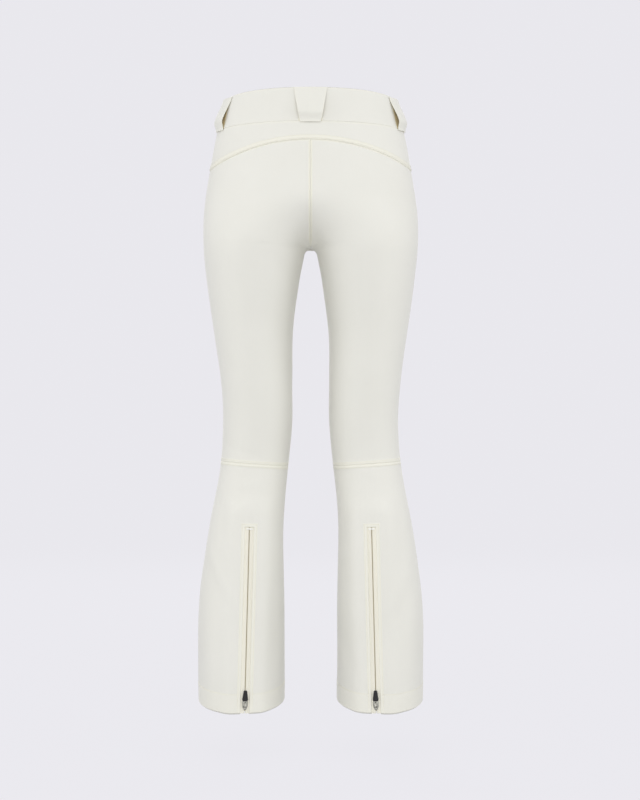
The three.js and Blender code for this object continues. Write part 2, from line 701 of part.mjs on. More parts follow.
// A frame on the tab at one of the snaps, with Z out of the cloth.
function snapFrame(height) {
  const s = section(height);
  const { p, n } = onBody(bodyAngleAt(s, snap.x, -1), height);
  const turn = new THREE.Quaternion().setFromUnitVectors(new THREE.Vector3(0, 0, 1), n);
  return { p, turn, matrix: new THREE.Matrix4().compose(p, turn, new THREE.Vector3(1, 1, 1)) };
}
const snapHoles = () =>
  snap.heights.map((h) => disc(snap.post + fitGap, -20, 20, 10).applyMatrix4(snapFrame(h).matrix));

function snapParts(label, heightOnBody) {
  const { p, turn } = snapFrame(heightOnBody);
  const group = new THREE.Group();
  group.position.copy(p);
  group.quaternion.copy(turn);
  trousers.add(group);
  const inside = -tab.thickness - fitGap; // inner face of the tab
  const deep = inside - snap.socket.height;
  const recessEnd = inside - fitGap;
  const joint = 0.2; // how far two joined discs run into each other
  const cap = joined(
    disc(snap.cap.radius, fitGap, fitGap + snap.cap.height, 20),
    disc(snap.post, inside - joint, fitGap + joint, 10),
    disc(snap.socket.radius, deep, inside, 16),
  );
  const recess = disc(snap.knob + fitGap, deep - joint, recessEnd, 12);
  add("snap_cap_" + label, cut(cap, recess), gunmetal, group);
  const face = fitGap - tabSink; // outer face of the underlap
  const back = -tabSink - cloth - fitGap;
  const { radius, height: plate } = snap.stud;
  const stud = joined(
    disc(snap.knob, face + joint, recessEnd - fitGap, 12),
    disc(radius, face, face + plate, 16),
    disc(snap.post, back - joint, face + joint, 10),
    disc(radius, back - plate, back, 16),
  );
  add("snap_stud_" + label, stud, gunmetal, group);
}

// ---- The trousers ----

function pocketPouch(label, side) {
  const { inner, outer, top, end, depth, thickness } = pocketBag;
  const at = (u, v) => {
    const z = mix(top, end, v);
    const s = section(z);
    const reach = Math.min(outer, 0.9 * s.outer);
    return onLeg(side, -1, mix(angleAt(s, reach, -1), angleAt(s, inner, -1), u), z);
  };
  add("pocket_bag_" + label, layer(at, 5, 6, { depth, thickness }), lining);
}

function shieldBehindFly() {
  const { left, right, top, end, depth, thickness } = flyShield;
  const at = (u, v) => {
    const z = mix(top, end, v);
    return onBody(mix(frontAngle(right)(z), frontAngle(left)(z), u), z);
  };
  add("fly_shield", layer(at, 4, 5, { depth, thickness }), lining);
}

yoke();
waistband();
waistTab();
waistFacing();
loops.forEach(beltLoop);
snap.heights.forEach((height, i) => snapParts(["upper", "lower"][i], height));
for (const [label, side] of sides) {
  const calf = zipParts(calfZip, side, "_" + label, side > 0 ? ["outer", "inner"] : ["inner", "outer"]);
  const pocket = zipParts(pocketZip, side, "_" + label, side > 0 ? ["outer", "inner"] : ["inner", "outer"]);
  add("calf_zip_stop_" + label, stopBar(calfZip.size, calf.high - 4), gunmetal, calf.group);
  const strip = box(
    [-underlap.half, calf.low + 4, -underlap.depth - underlap.thickness],
    [underlap.half, calf.high + 6, -underlap.depth],
  );
  add("calf_zip_underlap_" + label, strip, softshell, calf.group);
  const calfWindow = windowTool(calf, calfZip.window / 2, calf.low - 60, calf.high);
  const pocketWindow = windowTool(pocket, pocketZip.window / 2, pocket.low, pocket.high);
  const backCalfRows = { rows: calfRows, fixed: [[rowsAboveZip / calfRows, zipRow]] };
  const seam = (height, way) => [height, (way * seamGap) / 2];
  panel("back_thigh_" + label, side, 1, seam(yokeHeight, -1), seam(kneeHeight, 1), legRows(4));
  panel("back_calf_" + label, side, 1, seam(kneeHeight, -1), [hemHeight, 0], backCalfRows, [calfWindow]);
  const frontRows = legRows(5, calfRows);
  panel("front_leg_" + label, side, -1, seam(planeHeight(waistSeam), -1), [hemHeight, 0], frontRows, [
    pocketWindow,
  ]);
  hemFacing(label, side, calf);
  snowGaiter(label, side);
  pocketPouch(label, side);
}
const fly = zipParts(flyZip, 1, "", ["left", "right"]);
add("fly_zip_stop", stopBar(flyZip.size, fly.high - 2), gunmetal, fly.group);
shieldBehindFly();

export default trousers;
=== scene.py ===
import json
import math

import bmesh
import bpy
import numpy as np
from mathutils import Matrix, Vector


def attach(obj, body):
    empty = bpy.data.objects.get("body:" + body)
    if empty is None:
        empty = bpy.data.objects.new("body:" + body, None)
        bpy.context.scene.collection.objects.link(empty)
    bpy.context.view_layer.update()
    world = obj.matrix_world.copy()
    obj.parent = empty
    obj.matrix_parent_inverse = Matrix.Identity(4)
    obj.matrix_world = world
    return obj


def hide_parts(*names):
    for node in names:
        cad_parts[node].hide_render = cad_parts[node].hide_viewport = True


# Flared stretch ski trousers. Shapes are worked out in mm and made in metres.
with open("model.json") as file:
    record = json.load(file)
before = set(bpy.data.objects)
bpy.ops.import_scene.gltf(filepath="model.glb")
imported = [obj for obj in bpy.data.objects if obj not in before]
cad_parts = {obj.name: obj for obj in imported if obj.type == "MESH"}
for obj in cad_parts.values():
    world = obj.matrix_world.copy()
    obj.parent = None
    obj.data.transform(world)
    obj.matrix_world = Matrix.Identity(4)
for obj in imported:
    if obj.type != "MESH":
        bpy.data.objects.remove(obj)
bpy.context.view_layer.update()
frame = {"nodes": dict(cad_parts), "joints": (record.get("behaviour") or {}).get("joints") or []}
joints = {j["name"]: j for j in frame["joints"]}
mm = 0.001
scene = bpy.context.scene
print("frame loaded")

# The figure, the same surface as the solid model

# height, outer and inner edge of the left leg, front, back
stations = np.array([(20, 137, 0, -92, 88), (-60, 156, 0, -104, 98), (-120, 167, 0, -108, 114),
    (-200, 178, 1, -104, 125.5), (-260, 179, 9, -99, 118), (-320, 173, 20, -95, 106),
    (-400, 162, 30, -90, 89), (-480, 151, 31, -84, 78), (-545, 147, 31, -79, 69), (-620, 151, 38, -73, 63),
    (-720, 169, 46, -64, 80), (-800, 181, 45, -71, 87.5), (-880, 188, 44, -83, 95),
    (-960, 188.5, 44, -94, 102.5), (-1030, 187.5, 44, -103, 109)], float)[::-1]
figure = dict(fullness=2.15, legBlend=22, seatStart=-270, seatFront=-212, seatBack=-172)
cloth = dict(thickness=1.1)
waist = dict(edge=(-14, 14), seam=(-65.5, 8.5), depth=95)
kneeMid, hemMid, hemTilt = -619, -1013, 10
flyEdge, flyEnd = 5, -204
calfLine = dict(top=(100, -722), end=(107, -1023), face=1, half=7.4, slant=7 / 301, rest=0.5)
pocketLine = dict(top=(92, -96), end=(124, -236), face=-1, half=6.4, slant=32 / 140, rest=1.2)
strip = dict(half=14, reach=20, blend=34)


def mix(a, b, t):
    return a + (b - a) * t


def smooth(start, end, x):
    t = np.clip((x - start) / (end - start), 0, 1)
    return t * t * (3 - 2 * t)


def measure(key, z):
    heights, values = stations[:, 0], stations[:, key]
    slopes = np.empty_like(values)
    slopes[1:-1] = (values[2:] - values[:-2]) / (heights[2:] - heights[:-2])
    slopes[0] = (values[1] - values[0]) / (heights[1] - heights[0])
    slopes[-1] = (values[-1] - values[-2]) / (heights[-1] - heights[-2])
    i = np.clip(np.searchsorted(heights, z) - 1, 0, len(heights) - 2)
    h = heights[i + 1] - heights[i]
    t = (z - heights[i]) / h
    near = (1 + 2 * t) * (1 - t) ** 2 * values[i] + t * (1 - t) ** 2 * h * slopes[i]
    return near + t * t * (3 - 2 * t) * values[i + 1] + t * t * (t - 1) * h * slopes[i + 1]


def section(z):
    z = np.asarray(z, float)
    outer, inner, front, back = (measure(k, z) for k in (1, 2, 3, 4))
    return dict(outer=outer, cx=(outer + inner) / 2, a=(outer - inner) / 2, cy=(front + back) / 2,
        b=(back - front) / 2, seatFront=smooth(figure["seatStart"], figure["seatFront"], z),
        seatBack=smooth(figure["seatStart"], figure["seatBack"], z))


# Negative inside the figure: two ovals that melt into one another, and one oval at the seat.
def field(s, x, y):
    n, blend = figure["fullness"], figure["legBlend"]
    v = np.abs(y - s["cy"]) / s["b"]

    def oval(u):
        return ((np.abs(u) ** n + v**n) ** (1 / n) - 1) * s["a"]

    left, right = oval((x - s["cx"]) / s["a"]), oval((x + s["cx"]) / s["a"])
    near = np.maximum(blend - np.abs(left - right), 0) / blend
    legs = np.minimum(left, right) - near * near * blend / 4
    seat = mix(s["seatFront"], s["seatBack"], smooth(-60, 60, y - s["cy"]))
    return mix(legs, oval(x / s["outer"]), seat)


def leave(s, x, y, dx, dy, limit=2.0):
    x, y, dx, dy, limit = np.broadcast_arrays(x, y, dx, dy, limit)
    inside, outside = np.zeros(x.shape), limit.astype(float)
    for _ in range(28):
        t = (inside + outside) / 2
        isIn = field(s, x + t * dx, y + t * dy) < 0
        inside, outside = np.where(isIn, t, inside), np.where(isIn, outside, t)
    return inside


def crotchHeight():
    low, high = -330.0, -190.0
    for _ in range(40):
        z = (low + high) / 2
        s = section(z)
        if field(s, 0.0, s["cy"]) > 0:
            low = z
        else:
            high = z
    return high


crotch = crotchHeight()


def faceY(x, z, face):
    s = section(z)
    return s["cy"] + face * s["b"] * leave(s, x, s["cy"], 0, face * s["b"])


def makeStrip(line):
    (xTop, zTop), (xEnd, zEnd), face = line["top"], line["end"], line["face"]
    yTop, yEnd = faceY(xTop, zTop, face), faceY(xEnd, zEnd, face)
    x, z = (xTop + xEnd) / 2, (zTop + zEnd) / 2
    lean = (faceY(x + 8, z, face) - faceY(x - 8, z, face)) / 16

    def xAt(z):
        return mix(xTop, xEnd, (z - zTop) / (zEnd - zTop))

    def yAt(x, z):
        return mix(yTop, yEnd, (z - zTop) / (zEnd - zTop)) + lean * (x - xAt(z))

    def hold(x, z):
        reach, blend = strip["reach"], strip["blend"]
        beside = 1 - smooth(strip["half"], strip["half"] + blend, np.abs(x - xAt(z)))
        above = 1 - smooth(reach, reach + blend, z - zTop)
        return beside * above * (1 - smooth(reach, reach + blend, zEnd - z))

    return dict(face=face, yAt=yAt, hold=hold)


strips = [makeStrip(line) for line in (calfLine, pocketLine)]


def unit(v):
    return v / np.maximum(np.linalg.norm(v, axis=-1, keepdims=True), 1e-9)


# Points of the left side laid flat where a zip holds the cloth, with their outward normals.
def onCloth(x, y, z):
    e = 0.5
    s = section(z)
    up, down = section(z + e), section(z - e)
    n = unit(np.stack([field(s, x + e, y) - field(s, x - e, y), field(s, x, y + e) - field(s, x, y - e),
        field(up, x, y) - field(down, x, y)], -1))
    for t in strips:
        hold = np.where((y - s["cy"]) * t["face"] < 0, 0, t["hold"](np.abs(x), z))
        ax = np.abs(x)
        gx = (t["yAt"](ax + 1, z) - t["yAt"](ax, z)) * np.sign(x)
        gz = t["yAt"](ax, z + 1) - t["yAt"](ax, z)
        flat = unit(np.stack([-gx, np.ones_like(gx), -gz], -1)) * t["face"]
        n = unit(mix(n, flat, hold[..., None]))
        y = mix(y, t["yAt"](ax, z), hold)
    return np.stack([x, y, z], -1), n


# Rows of evenly spaced points over one face of the left leg, from the side seam to the inner seam.
def makeTable(face, edgeAt, line):
    lower = crotch - 1e-3 - np.concatenate([70 * np.linspace(0, 1, 40) ** 2.2, np.arange(73, 800, 3.0)])
    upper = crotch + 1e-3 + np.concatenate([70 * np.linspace(0, 1, 40) ** 2.2, np.arange(73, 292, 3.0)])
    shares, samples = np.linspace(0, 1, 261), np.linspace(0, 1, 361)
    made = []
    for zs, isUpper in ((lower[::-1], False), (upper, True)):
        s = {k: v[:, None] for k, v in section(zs).items()}
        edge = edgeAt(zs)[:, None]
        if isUpper:
            depth = leave(s, edge, s["cy"], 0, face * s["b"])
            last = np.arctan2(depth, (edge - s["cx"]) / s["a"])
            reach = s["cx"] + 2 * flyEdge
        else:
            last, reach = np.full_like(edge, math.pi), s["cx"]
        angle = last * samples[None, :]
        dx, dy = s["a"] * np.cos(angle), face * s["b"] * np.sin(angle)
        limit = np.where(dx < 0, np.minimum(2, reach / np.maximum(np.abs(dx), 1e-6)), 2.0)
        t = leave(s, s["cx"], s["cy"], dx, dy, limit)
        x, y = s["cx"] + t * dx, s["cy"] + t * dy
        if isUpper:
            x[:, -1:] = edge
        arcs = np.concatenate([np.zeros((len(zs), 1)), np.cumsum(np.hypot(np.diff(x), np.diff(y)), 1)], 1)
        total = arcs[:, -1]
        evenX = np.array([np.interp(shares * l, a, v) for l, a, v in zip(total, arcs, x)])
        evenY = np.array([np.interp(shares * l, a, v) for l, a, v in zip(total, arcs, y)])
        (xTop, zTop), (xEnd, zEnd) = line["top"], line["end"]
        xZip = mix(xTop, xEnd, (np.clip(zs, zEnd, zTop) - zTop) / (zEnd - zTop))
        zipArc = np.array([np.interp(-v, -row, a) for v, row, a in zip(xZip, x, arcs)])
        made.append((zs, evenX, evenY, total, zipArc))
    return made


def rowsOf(table, z):
    total, zipArc = np.empty(z.shape), np.empty(z.shape)
    for (zs, _, _, lengths, arcs), mask in zip(table, (z < crotch, z >= crotch)):
        total[mask] = np.interp(z[mask], zs, lengths)
        zipArc[mask] = np.interp(z[mask], zs, arcs)
    return total, zipArc


def lookup(table, share, z):
    x, y = np.empty(z.shape), np.empty(z.shape)
    for (zs, gridX, gridY, _, _), mask in zip(table, (z < crotch, z >= crotch)):
        if not mask.any():
            continue
        i = np.clip(np.searchsorted(zs, z[mask]) - 1, 0, len(zs) - 2)
        w = np.clip((z[mask] - zs[i]) / (zs[i + 1] - zs[i]), 0, 1)
        k = np.clip(share[mask], 0, 1) * (gridX.shape[1] - 1)
        j = np.minimum(k.astype(int), gridX.shape[1] - 2)
        f = k - j
        for grid, out in ((gridX, x), (gridY, y)):
            low = mix(grid[i, j], grid[i, j + 1], f)
            high = mix(grid[i + 1, j], grid[i + 1, j + 1], f)
            out[mask] = mix(low, high, w)
    return x, y


def flyBorder(z):
    return flyEdge * smooth(flyEnd - 22, flyEnd - 4, z)


backTable = makeTable(1, lambda z: z * 0, calfLine)
frontLeftTable = makeTable(-1, flyBorder, pocketLine)
frontRightTable = makeTable(-1, lambda z: -flyBorder(z), pocketLine)
print("figure ready")

# Heights of the seams


def waistHeight(plane):
    return lambda x, y: plane[0] + plane[1] * y / waist["depth"]


def yokeHeight(x, y):
    return -87 - 34 * (x / 150) ** 2


def kneeHeight(x, y):
    s = section(kneeMid)
    return kneeMid + 4 * (np.abs(x) - s["cx"]) / s["a"]


def hemHeight(x, y):
    s = section(hemMid)
    return hemMid - hemTilt * (y - s["cy"]) / s["b"]


# Relief of the cloth

# Soft creases: place, direction along the crease, length, width and height in mm.
creases = [((150, 60, -812), (-0.25, 0, -1), 46, 8, 1.5), ((136, 75, -872), (-0.35, 0, -1), 60, 9, -1.3),
    ((168, 30, -900), (-0.12, 0, -1), 90, 12, 1.6), ((72, 70, -850), (0.1, 0, -1), 80, 12, 0.9),
    ((60, 60, -930), (0.2, 0, -1), 60, 9, -0.8), ((95, -75, -860), (0.1, 0, -1), 120, 16, 1.6),
    ((140, -60, -930), (-0.2, 0, -1), 90, 12, -1.2), ((90, 66, -640), (1, 0, -0.18), 40, 8, 0.8),
    ((100, 64, -604), (1, 0, 0.2), 36, 7, -0.6), ((55, 75, -292), (1, 0, 0.35), 38, 9, -1.0),
    ((88, -70, -600), (1, 0, 0.12), 44, 9, 1.1), ((96, -68, -640), (1, 0, -0.2), 40, 9, -0.9),
    ((40, -95, -262), (1, 0, 0.55), 40, 8, 1.2), ((62, -95, -286), (1, 0, 0.4), 44, 8, -1.0)]


def softFolds(p):
    x, y, z = p[..., 0], p[..., 1], p[..., 2]
    side = np.sign(x) + (x == 0)
    lift = np.zeros(x.shape)
    for i, (place, way, length, width, height) in enumerate(creases):
        sway = 9 * math.sin(2.4 * i)
        d = np.stack([np.abs(x) - place[0], y - place[1], z - place[2] - side * sway], -1)
        way = np.array(way) / np.linalg.norm(way)
        along = d @ way
        acrossDirection = np.array([-way[2], 0, way[0]])
        across = d @ acrossDirection + 4 * np.sin(along / 26 + i + side)
        near = np.exp(-((along / length) ** 2) - (across / width) ** 2 - (d[..., 1] / 70) ** 2)
        lift = lift + height * near
    waves = 0.35 * np.sin(x / 31 + z / 67 + 1.3) * np.sin(y / 37 + z / 83)
    return lift + waves + 0.22 * np.sin(z / 21 + x / 47) * np.sin(y / 24 - x / 39)


def rolled(d, radius, turned=1.4):
    t = np.clip((radius - d) / radius, 0, 1)
    round_ = radius * (1 - np.sqrt(np.maximum(1 - t * t, 0)))
    return np.where(d < 0, radius + np.minimum(-d, turned), round_)


def lump(d, centre, width):
    return np.exp(-(((d - centre) / width) ** 2))


def plateau(d, start, end, soft):
    return smooth(start - soft, start, d) * (1 - smooth(end, end + soft, d))


# Seams and folded edges by their distance in mm: how they lift the cloth, and how much painted highlight
# they get.
def seamRelief(d, radius=0.9, bead=0.0, at=3.2, width=1.5):
    return -rolled(d, radius) + bead * lump(d, at, width)


# painted highlight: 1 at a seam or folded edge, fading out by reach mm
def seamHighlight(d, reach):
    return 1 - smooth(reach * 0.4, reach, d)


# Materials


def hexColour(text):
    parts = [int(text[i : i + 2], 16) / 255 for i in (1, 3, 5)]
    return (*(c / 12.92 if c <= 0.04045 else ((c + 0.055) / 1.055) ** 2.4 for c in parts), 1)


def node(tree, kind, settings=None, **inputs):
    n = tree.nodes.new(kind)
    for key, value in (settings or {}).items():
        setattr(n, key, value)
    for key, value in inputs.items():
        numbered = key[0] == "i" and key[1:].isdigit()
        socket = n.inputs[int(key[1:]) if numbered else key.replace("_", " ")]
        if isinstance(value, bpy.types.NodeSocket):
            tree.links.new(value, socket)
        else:
            socket.default_value = value
    return n


def newMaterial(name, colour, roughness, **settings):
    m = bpy.data.materials.new(name)
    m.use_nodes = True
    shader = m.node_tree.nodes["Principled BSDF"]
    shader.inputs["Base Color"].default_value = hexColour(colour)
    shader.inputs["Roughness"].default_value = roughness
    for key, value in settings.items():
        shader.inputs[key.replace("_", " ")].default_value = value
    m.diffuse_color = hexColour(colour)
    return m, m.node_tree, shader


def bumpTo(tree, shader, height, strength, distance):
    b = node(tree, "ShaderNodeBump", None, Height=height, Strength=strength, Distance=distance)
    tree.links.new(b.outputs["Normal"], shader.inputs["Normal"])
    return b


# A weave over the piece's own UV map, which is in metres: ribs at an angle, crossed by finer ones.
def weave(tree, pitch, angle, cross=0.5):
    uv = node(tree, "ShaderNodeUVMap", {"uv_map": "flat"})
    turned = node(tree, "ShaderNodeMapping", None, Vector=uv.outputs[0], Rotation=(0, 0, angle))
    ribs = node(tree, "ShaderNodeTexWave",
        {"wave_type": "BANDS", "bands_direction": "X", "wave_profile": "SIN"}, Vector=turned.outputs[0],
        Scale=1 / (pitch * 3.2), Distortion=0.6, Detail=1.0, Detail_Scale=2.0)
    threads = node(tree, "ShaderNodeTexWave",
        {"wave_type": "BANDS", "bands_direction": "Y", "wave_profile": "SIN"}, Vector=turned.outputs[0],
        Scale=1 / (pitch * 2.2), Distortion=0.4)
    crossed = node(tree, "ShaderNodeMath", {"operation": "MULTIPLY_ADD"}, i0=threads.outputs["Fac"],
        i1=cross, i2=ribs.outputs["Fac"])
    return uv, crossed.outputs[0]


def makeSoftshell():
    # stretch twill bonded to fleece: matt off-white, with a soft pale edge from its fine fibres
    m, tree, shader = newMaterial("softshellTwill", "#E9E8DF", 0.78, Sheen_Weight=0.35,
        Sheen_Roughness=0.45, IOR=1.46)
    shader.inputs["Specular IOR Level"].default_value = 0.3
    uv, woven = weave(tree, 0.0009, math.radians(38))  # drawn coarser than the real 0.4 mm
    coords = node(tree, "ShaderNodeTexCoord")
    cloudy = node(tree, "ShaderNodeTexNoise", None, Vector=coords.outputs["Object"], Scale=14, Detail=3)
    body = node(tree, "ShaderNodeMix", {"data_type": "RGBA"}, i0=cloudy.outputs["Fac"],
        i6=hexColour("#E6E5DC"), i7=hexColour("#EBEAE2"))
    # painted light from the 'edge' attribute: up to 1 it is a painted highlight, a brighter warmer ivory
    # along raised seams, welts, hems and belt loop faces
    paintedLightAttr = node(tree, "ShaderNodeAttribute", {"attribute_name": "edge"})
    highlightAmount = node(tree, "ShaderNodeMapRange", None, Value=paintedLightAttr.outputs["Fac"], To_Max=0.6)
    highlightMix = node(tree, "ShaderNodeMix", {"data_type": "RGBA"}, i0=highlightAmount.outputs[0], i6=body.outputs[2],
        i7=hexColour("#F2F0E1"))
    # from 1.1 to 2 it is painted shade: the warm tan of bounce light in the belt loops' gaps
    behind = node(tree, "ShaderNodeMapRange", None, Value=paintedLightAttr.outputs["Fac"], From_Min=1.1, From_Max=2.0)
    shaded = node(tree, "ShaderNodeMix", {"data_type": "RGBA"}, i0=behind.outputs[0], i6=highlightMix.outputs[2],
        i7=hexColour("#DCCB9C"))
    thread = node(tree, "ShaderNodeMix", {"data_type": "RGBA", "blend_type": "MULTIPLY"}, i0=0.06,
        i6=shaded.outputs[2], i7=woven)
    tree.links.new(thread.outputs[2], shader.inputs["Base Color"])
    pill = node(tree, "ShaderNodeTexNoise", None, Vector=uv.outputs[0], Scale=900, Detail=2)
    both = node(tree, "ShaderNodeMath", {"operation": "MULTIPLY_ADD"},
        i0=pill.outputs["Fac"], i1=0.5, i2=woven)
    bumpTo(tree, shader, both.outputs[0], 0.22, 0.00012)
    rough = node(tree, "ShaderNodeMapRange", None, Value=cloudy.outputs["Fac"], To_Min=0.72, To_Max=0.84)
    tree.links.new(rough.outputs[0], shader.inputs["Roughness"])
    return m


def makeFleeceWithBounce():
    # the softshell's inner face: brushed fleece, shown on the belt loops' inner faces in a warm tan that
    # paints the warm bounce light seen in the loops' gaps
    m, tree, shader = newMaterial("fleeceBackWithPaintedBounce", "#E0D6B8", 0.95, Sheen_Weight=0.4, Sheen_Roughness=0.6)
    coords = node(tree, "ShaderNodeTexCoord")
    nap = node(tree, "ShaderNodeTexNoise", None, Vector=coords.outputs["Object"], Scale=600, Detail=4)
    tone = node(tree, "ShaderNodeMix", {"data_type": "RGBA"}, i0=nap.outputs["Fac"], i6=hexColour("#D8CCA8"),
        i7=hexColour("#E8DFC6"))
    tree.links.new(tone.outputs[2], shader.inputs["Base Color"])
    bumpTo(tree, shader, nap.outputs["Fac"], 0.5, 0.0004)
    return m


def makeEnamel():
    # ivory-lacquered metal: smooth, softly glossy, a shade brighter than the cloth
    m, tree, shader = newMaterial("ivoryLacquer", "#F4F3EC", 0.32, Coat_Weight=0.3)
    coords = node(tree, "ShaderNodeTexCoord")
    marks = node(tree, "ShaderNodeTexNoise", None, Vector=coords.outputs["Object"], Scale=500, Detail=3)
    tone = node(tree, "ShaderNodeMix", {"data_type": "RGBA"}, i0=marks.outputs["Fac"],
        i6=hexColour("#EFEEE6"), i7=hexColour("#F8F7F2"))
    tree.links.new(tone.outputs[2], shader.inputs["Base Color"])
    return m


def makeShadowedMetal():
    # painted shade for the slider's sunk holes: the same plating made near black, for the discs that stand
    # in for the shade inside them
    m, tree, shader = newMaterial("shadowedPlating", "#141413", 0.6, Metallic=0.6)
    coords = node(tree, "ShaderNodeTexCoord")
    grime = node(tree, "ShaderNodeTexNoise", None, Vector=coords.outputs["Object"], Scale=900, Detail=3)
    rough = node(tree, "ShaderNodeMapRange", None, Value=grime.outputs["Fac"], To_Min=0.5, To_Max=0.8)
    tree.links.new(rough.outputs[0], shader.inputs["Roughness"])
    return m


def makeLining():
    # brushed tricot: a little greyer, softly napped, no shine
    m, tree, shader = newMaterial("brushedTricot", "#DEDCD2", 0.95, Sheen_Weight=0.5, Sheen_Roughness=0.6)
    uv, woven = weave(tree, 0.0014, 0, 0.3)
    nap = node(tree, "ShaderNodeTexNoise", None, Vector=uv.outputs[0], Scale=420, Detail=4)
    tone = node(tree, "ShaderNodeMix", {"data_type": "RGBA"}, i0=nap.outputs["Fac"], i6=hexColour("#D3D1C6"),
        i7=hexColour("#E4E2DA"))
    tree.links.new(tone.outputs[2], shader.inputs["Base Color"])
    both = node(tree, "ShaderNodeMath", {"operation": "ADD"}, i0=nap.outputs["Fac"], i1=woven)
    bumpTo(tree, shader, both.outputs[0], 0.5, 0.0003)
    return m


def makeElastic():
    # knitted elastic: upright ribs 2 mm apart, slightly glossy yarn
    m, tree, shader = newMaterial("knittedElastic", "#D9D7CC", 0.7, Sheen_Weight=0.2)
    woven = weave(tree, 0.002, 0, 0.35)[1]
    tone = node(tree, "ShaderNodeMix", {"data_type": "RGBA"}, i0=woven, i6=hexColour("#BFBDB2"),
        i7=hexColour("#E2E0D6"))
    tree.links.new(tone.outputs[2], shader.inputs["Base Color"])
    bumpTo(tree, shader, woven, 0.8, 0.0005)
    return m


def makeTape():
    # woven zip tape: ivory, fine herringbone, a touch of sheen from its polyester yarn
    m, tree, shader = newMaterial("wovenTape", "#EEEBDD", 0.66, Sheen_Weight=0.25, Sheen_Roughness=0.4)
    woven = weave(tree, 0.0007, math.radians(45), 0.8)[1]
    tone = node(tree, "ShaderNodeMix", {"data_type": "RGBA"}, i0=woven, i6=hexColour("#E6E2CF"),
        i7=hexColour("#F1EEE0"))
    tree.links.new(tone.outputs[2], shader.inputs["Base Color"])
    bumpTo(tree, shader, woven, 0.4, 0.0002)
    return m


def makeCoil():
    # extruded nylon: pale amber-ivory, slightly translucent gloss
    m, tree, shader = newMaterial("nylonCoil", "#DCD0AC", 0.45, IOR=1.53, Subsurface_Weight=0.1)
    shader.inputs["Subsurface Radius"].default_value = (0.001, 0.0009, 0.0007)
    coords = node(tree, "ShaderNodeTexCoord")
    stain = node(tree, "ShaderNodeTexNoise", None, Vector=coords.outputs["Object"], Scale=60, Detail=2)
    tone = node(tree, "ShaderNodeMix", {"data_type": "RGBA"}, i0=stain.outputs["Fac"],
        i6=hexColour("#D6CAA4"), i7=hexColour("#E6DCBE"))
    tree.links.new(tone.outputs[2], shader.inputs["Base Color"])
    return m


def makeMetal():
    # plated zinc, gunmetal: brushed, with paler worn edges and small handling marks
    m, tree, shader = newMaterial("gunmetalPlating", "#85857D", 0.34, Metallic=1.0)
    coords = node(tree, "ShaderNodeTexCoord")
    stretched = node(tree, "ShaderNodeMapping", None, Vector=coords.outputs["Object"], Scale=(1, 1, 0.12))
    brushed = node(tree, "ShaderNodeTexNoise", None, Vector=stretched.outputs[0], Scale=5200, Detail=3)
    marks = node(tree, "ShaderNodeTexNoise", None, Vector=coords.outputs["Object"], Scale=420, Detail=5)
    geometry = node(tree, "ShaderNodeNewGeometry")
    worn = node(tree, "ShaderNodeMapRange", None, Value=geometry.outputs["Pointiness"], From_Min=0.5,
        From_Max=0.56, To_Max=0.9)
    tone = node(tree, "ShaderNodeMix", {"data_type": "RGBA"}, i0=marks.outputs["Fac"],
        i6=hexColour("#66665F"), i7=hexColour("#8E8E86"))
    bright = node(tree, "ShaderNodeMix", {"data_type": "RGBA"}, i0=worn.outputs[0], i6=tone.outputs[2],
        i7=hexColour("#BEBDB4"))
    tree.links.new(bright.outputs[2], shader.inputs["Base Color"])
    rough = node(tree, "ShaderNodeMapRange", None, Value=brushed.outputs["Fac"], To_Min=0.26, To_Max=0.46)
    tree.links.new(rough.outputs[0], shader.inputs["Roughness"])
    bumpTo(tree, shader, brushed.outputs["Fac"], 0.08, 0.00005)
    return m


def makeRubber():
    # moulded rubber: near black, fine grain from the mould, greyer where it is rubbed
    m, tree, shader = newMaterial("mouldedRubber", "#0C0C0E", 0.6, IOR=1.4)
    coords = node(tree, "ShaderNodeTexCoord")
    grain = node(tree, "ShaderNodeTexNoise", None, Vector=coords.outputs["Object"], Scale=3800, Detail=2)
    rubbed = node(tree, "ShaderNodeTexNoise", None, Vector=coords.outputs["Object"], Scale=260, Detail=3)
    tone = node(tree, "ShaderNodeMix", {"data_type": "RGBA"}, i0=rubbed.outputs["Fac"],
        i6=hexColour("#070709"), i7=hexColour("#121214"))
    tree.links.new(tone.outputs[2], shader.inputs["Base Color"])
    rough = node(tree, "ShaderNodeMapRange", None, Value=rubbed.outputs["Fac"], To_Min=0.4, To_Max=0.62)
    tree.links.new(rough.outputs[0], shader.inputs["Roughness"])
    bumpTo(tree, shader, grain.outputs["Fac"], 0.25, 0.00006)
    return m


def makeThread():
    # polyester sewing thread: warmer and a little brighter than the cloth, twisted
    m, tree, shader = newMaterial("sewingThread", "#F0ECDA", 0.5, Sheen_Weight=0.3)
    coords = node(tree, "ShaderNodeTexCoord")
    ply = node(tree, "ShaderNodeTexNoise", None, Vector=coords.outputs["Object"], Scale=2400, Detail=1)
    tone = node(tree, "ShaderNodeMix", {"data_type": "RGBA"}, i0=ply.outputs["Fac"], i6=hexColour("#E4E0CC"),
        i7=hexColour("#F6F3E4"))
    tree.links.new(tone.outputs[2], shader.inputs["Base Color"])
    return m


softshell, lining, elastic = makeSoftshell(), makeLining(), makeElastic()
tapeCloth, nylon, gunmetal = makeTape(), makeCoil(), makeMetal()
rubber, thread = makeRubber(), makeThread()
fleeceWithBounce, enamel, shadowed = makeFleeceWithBounce(), makeEnamel(), makeShadowedMetal()
print("materials ready")

# Meshes


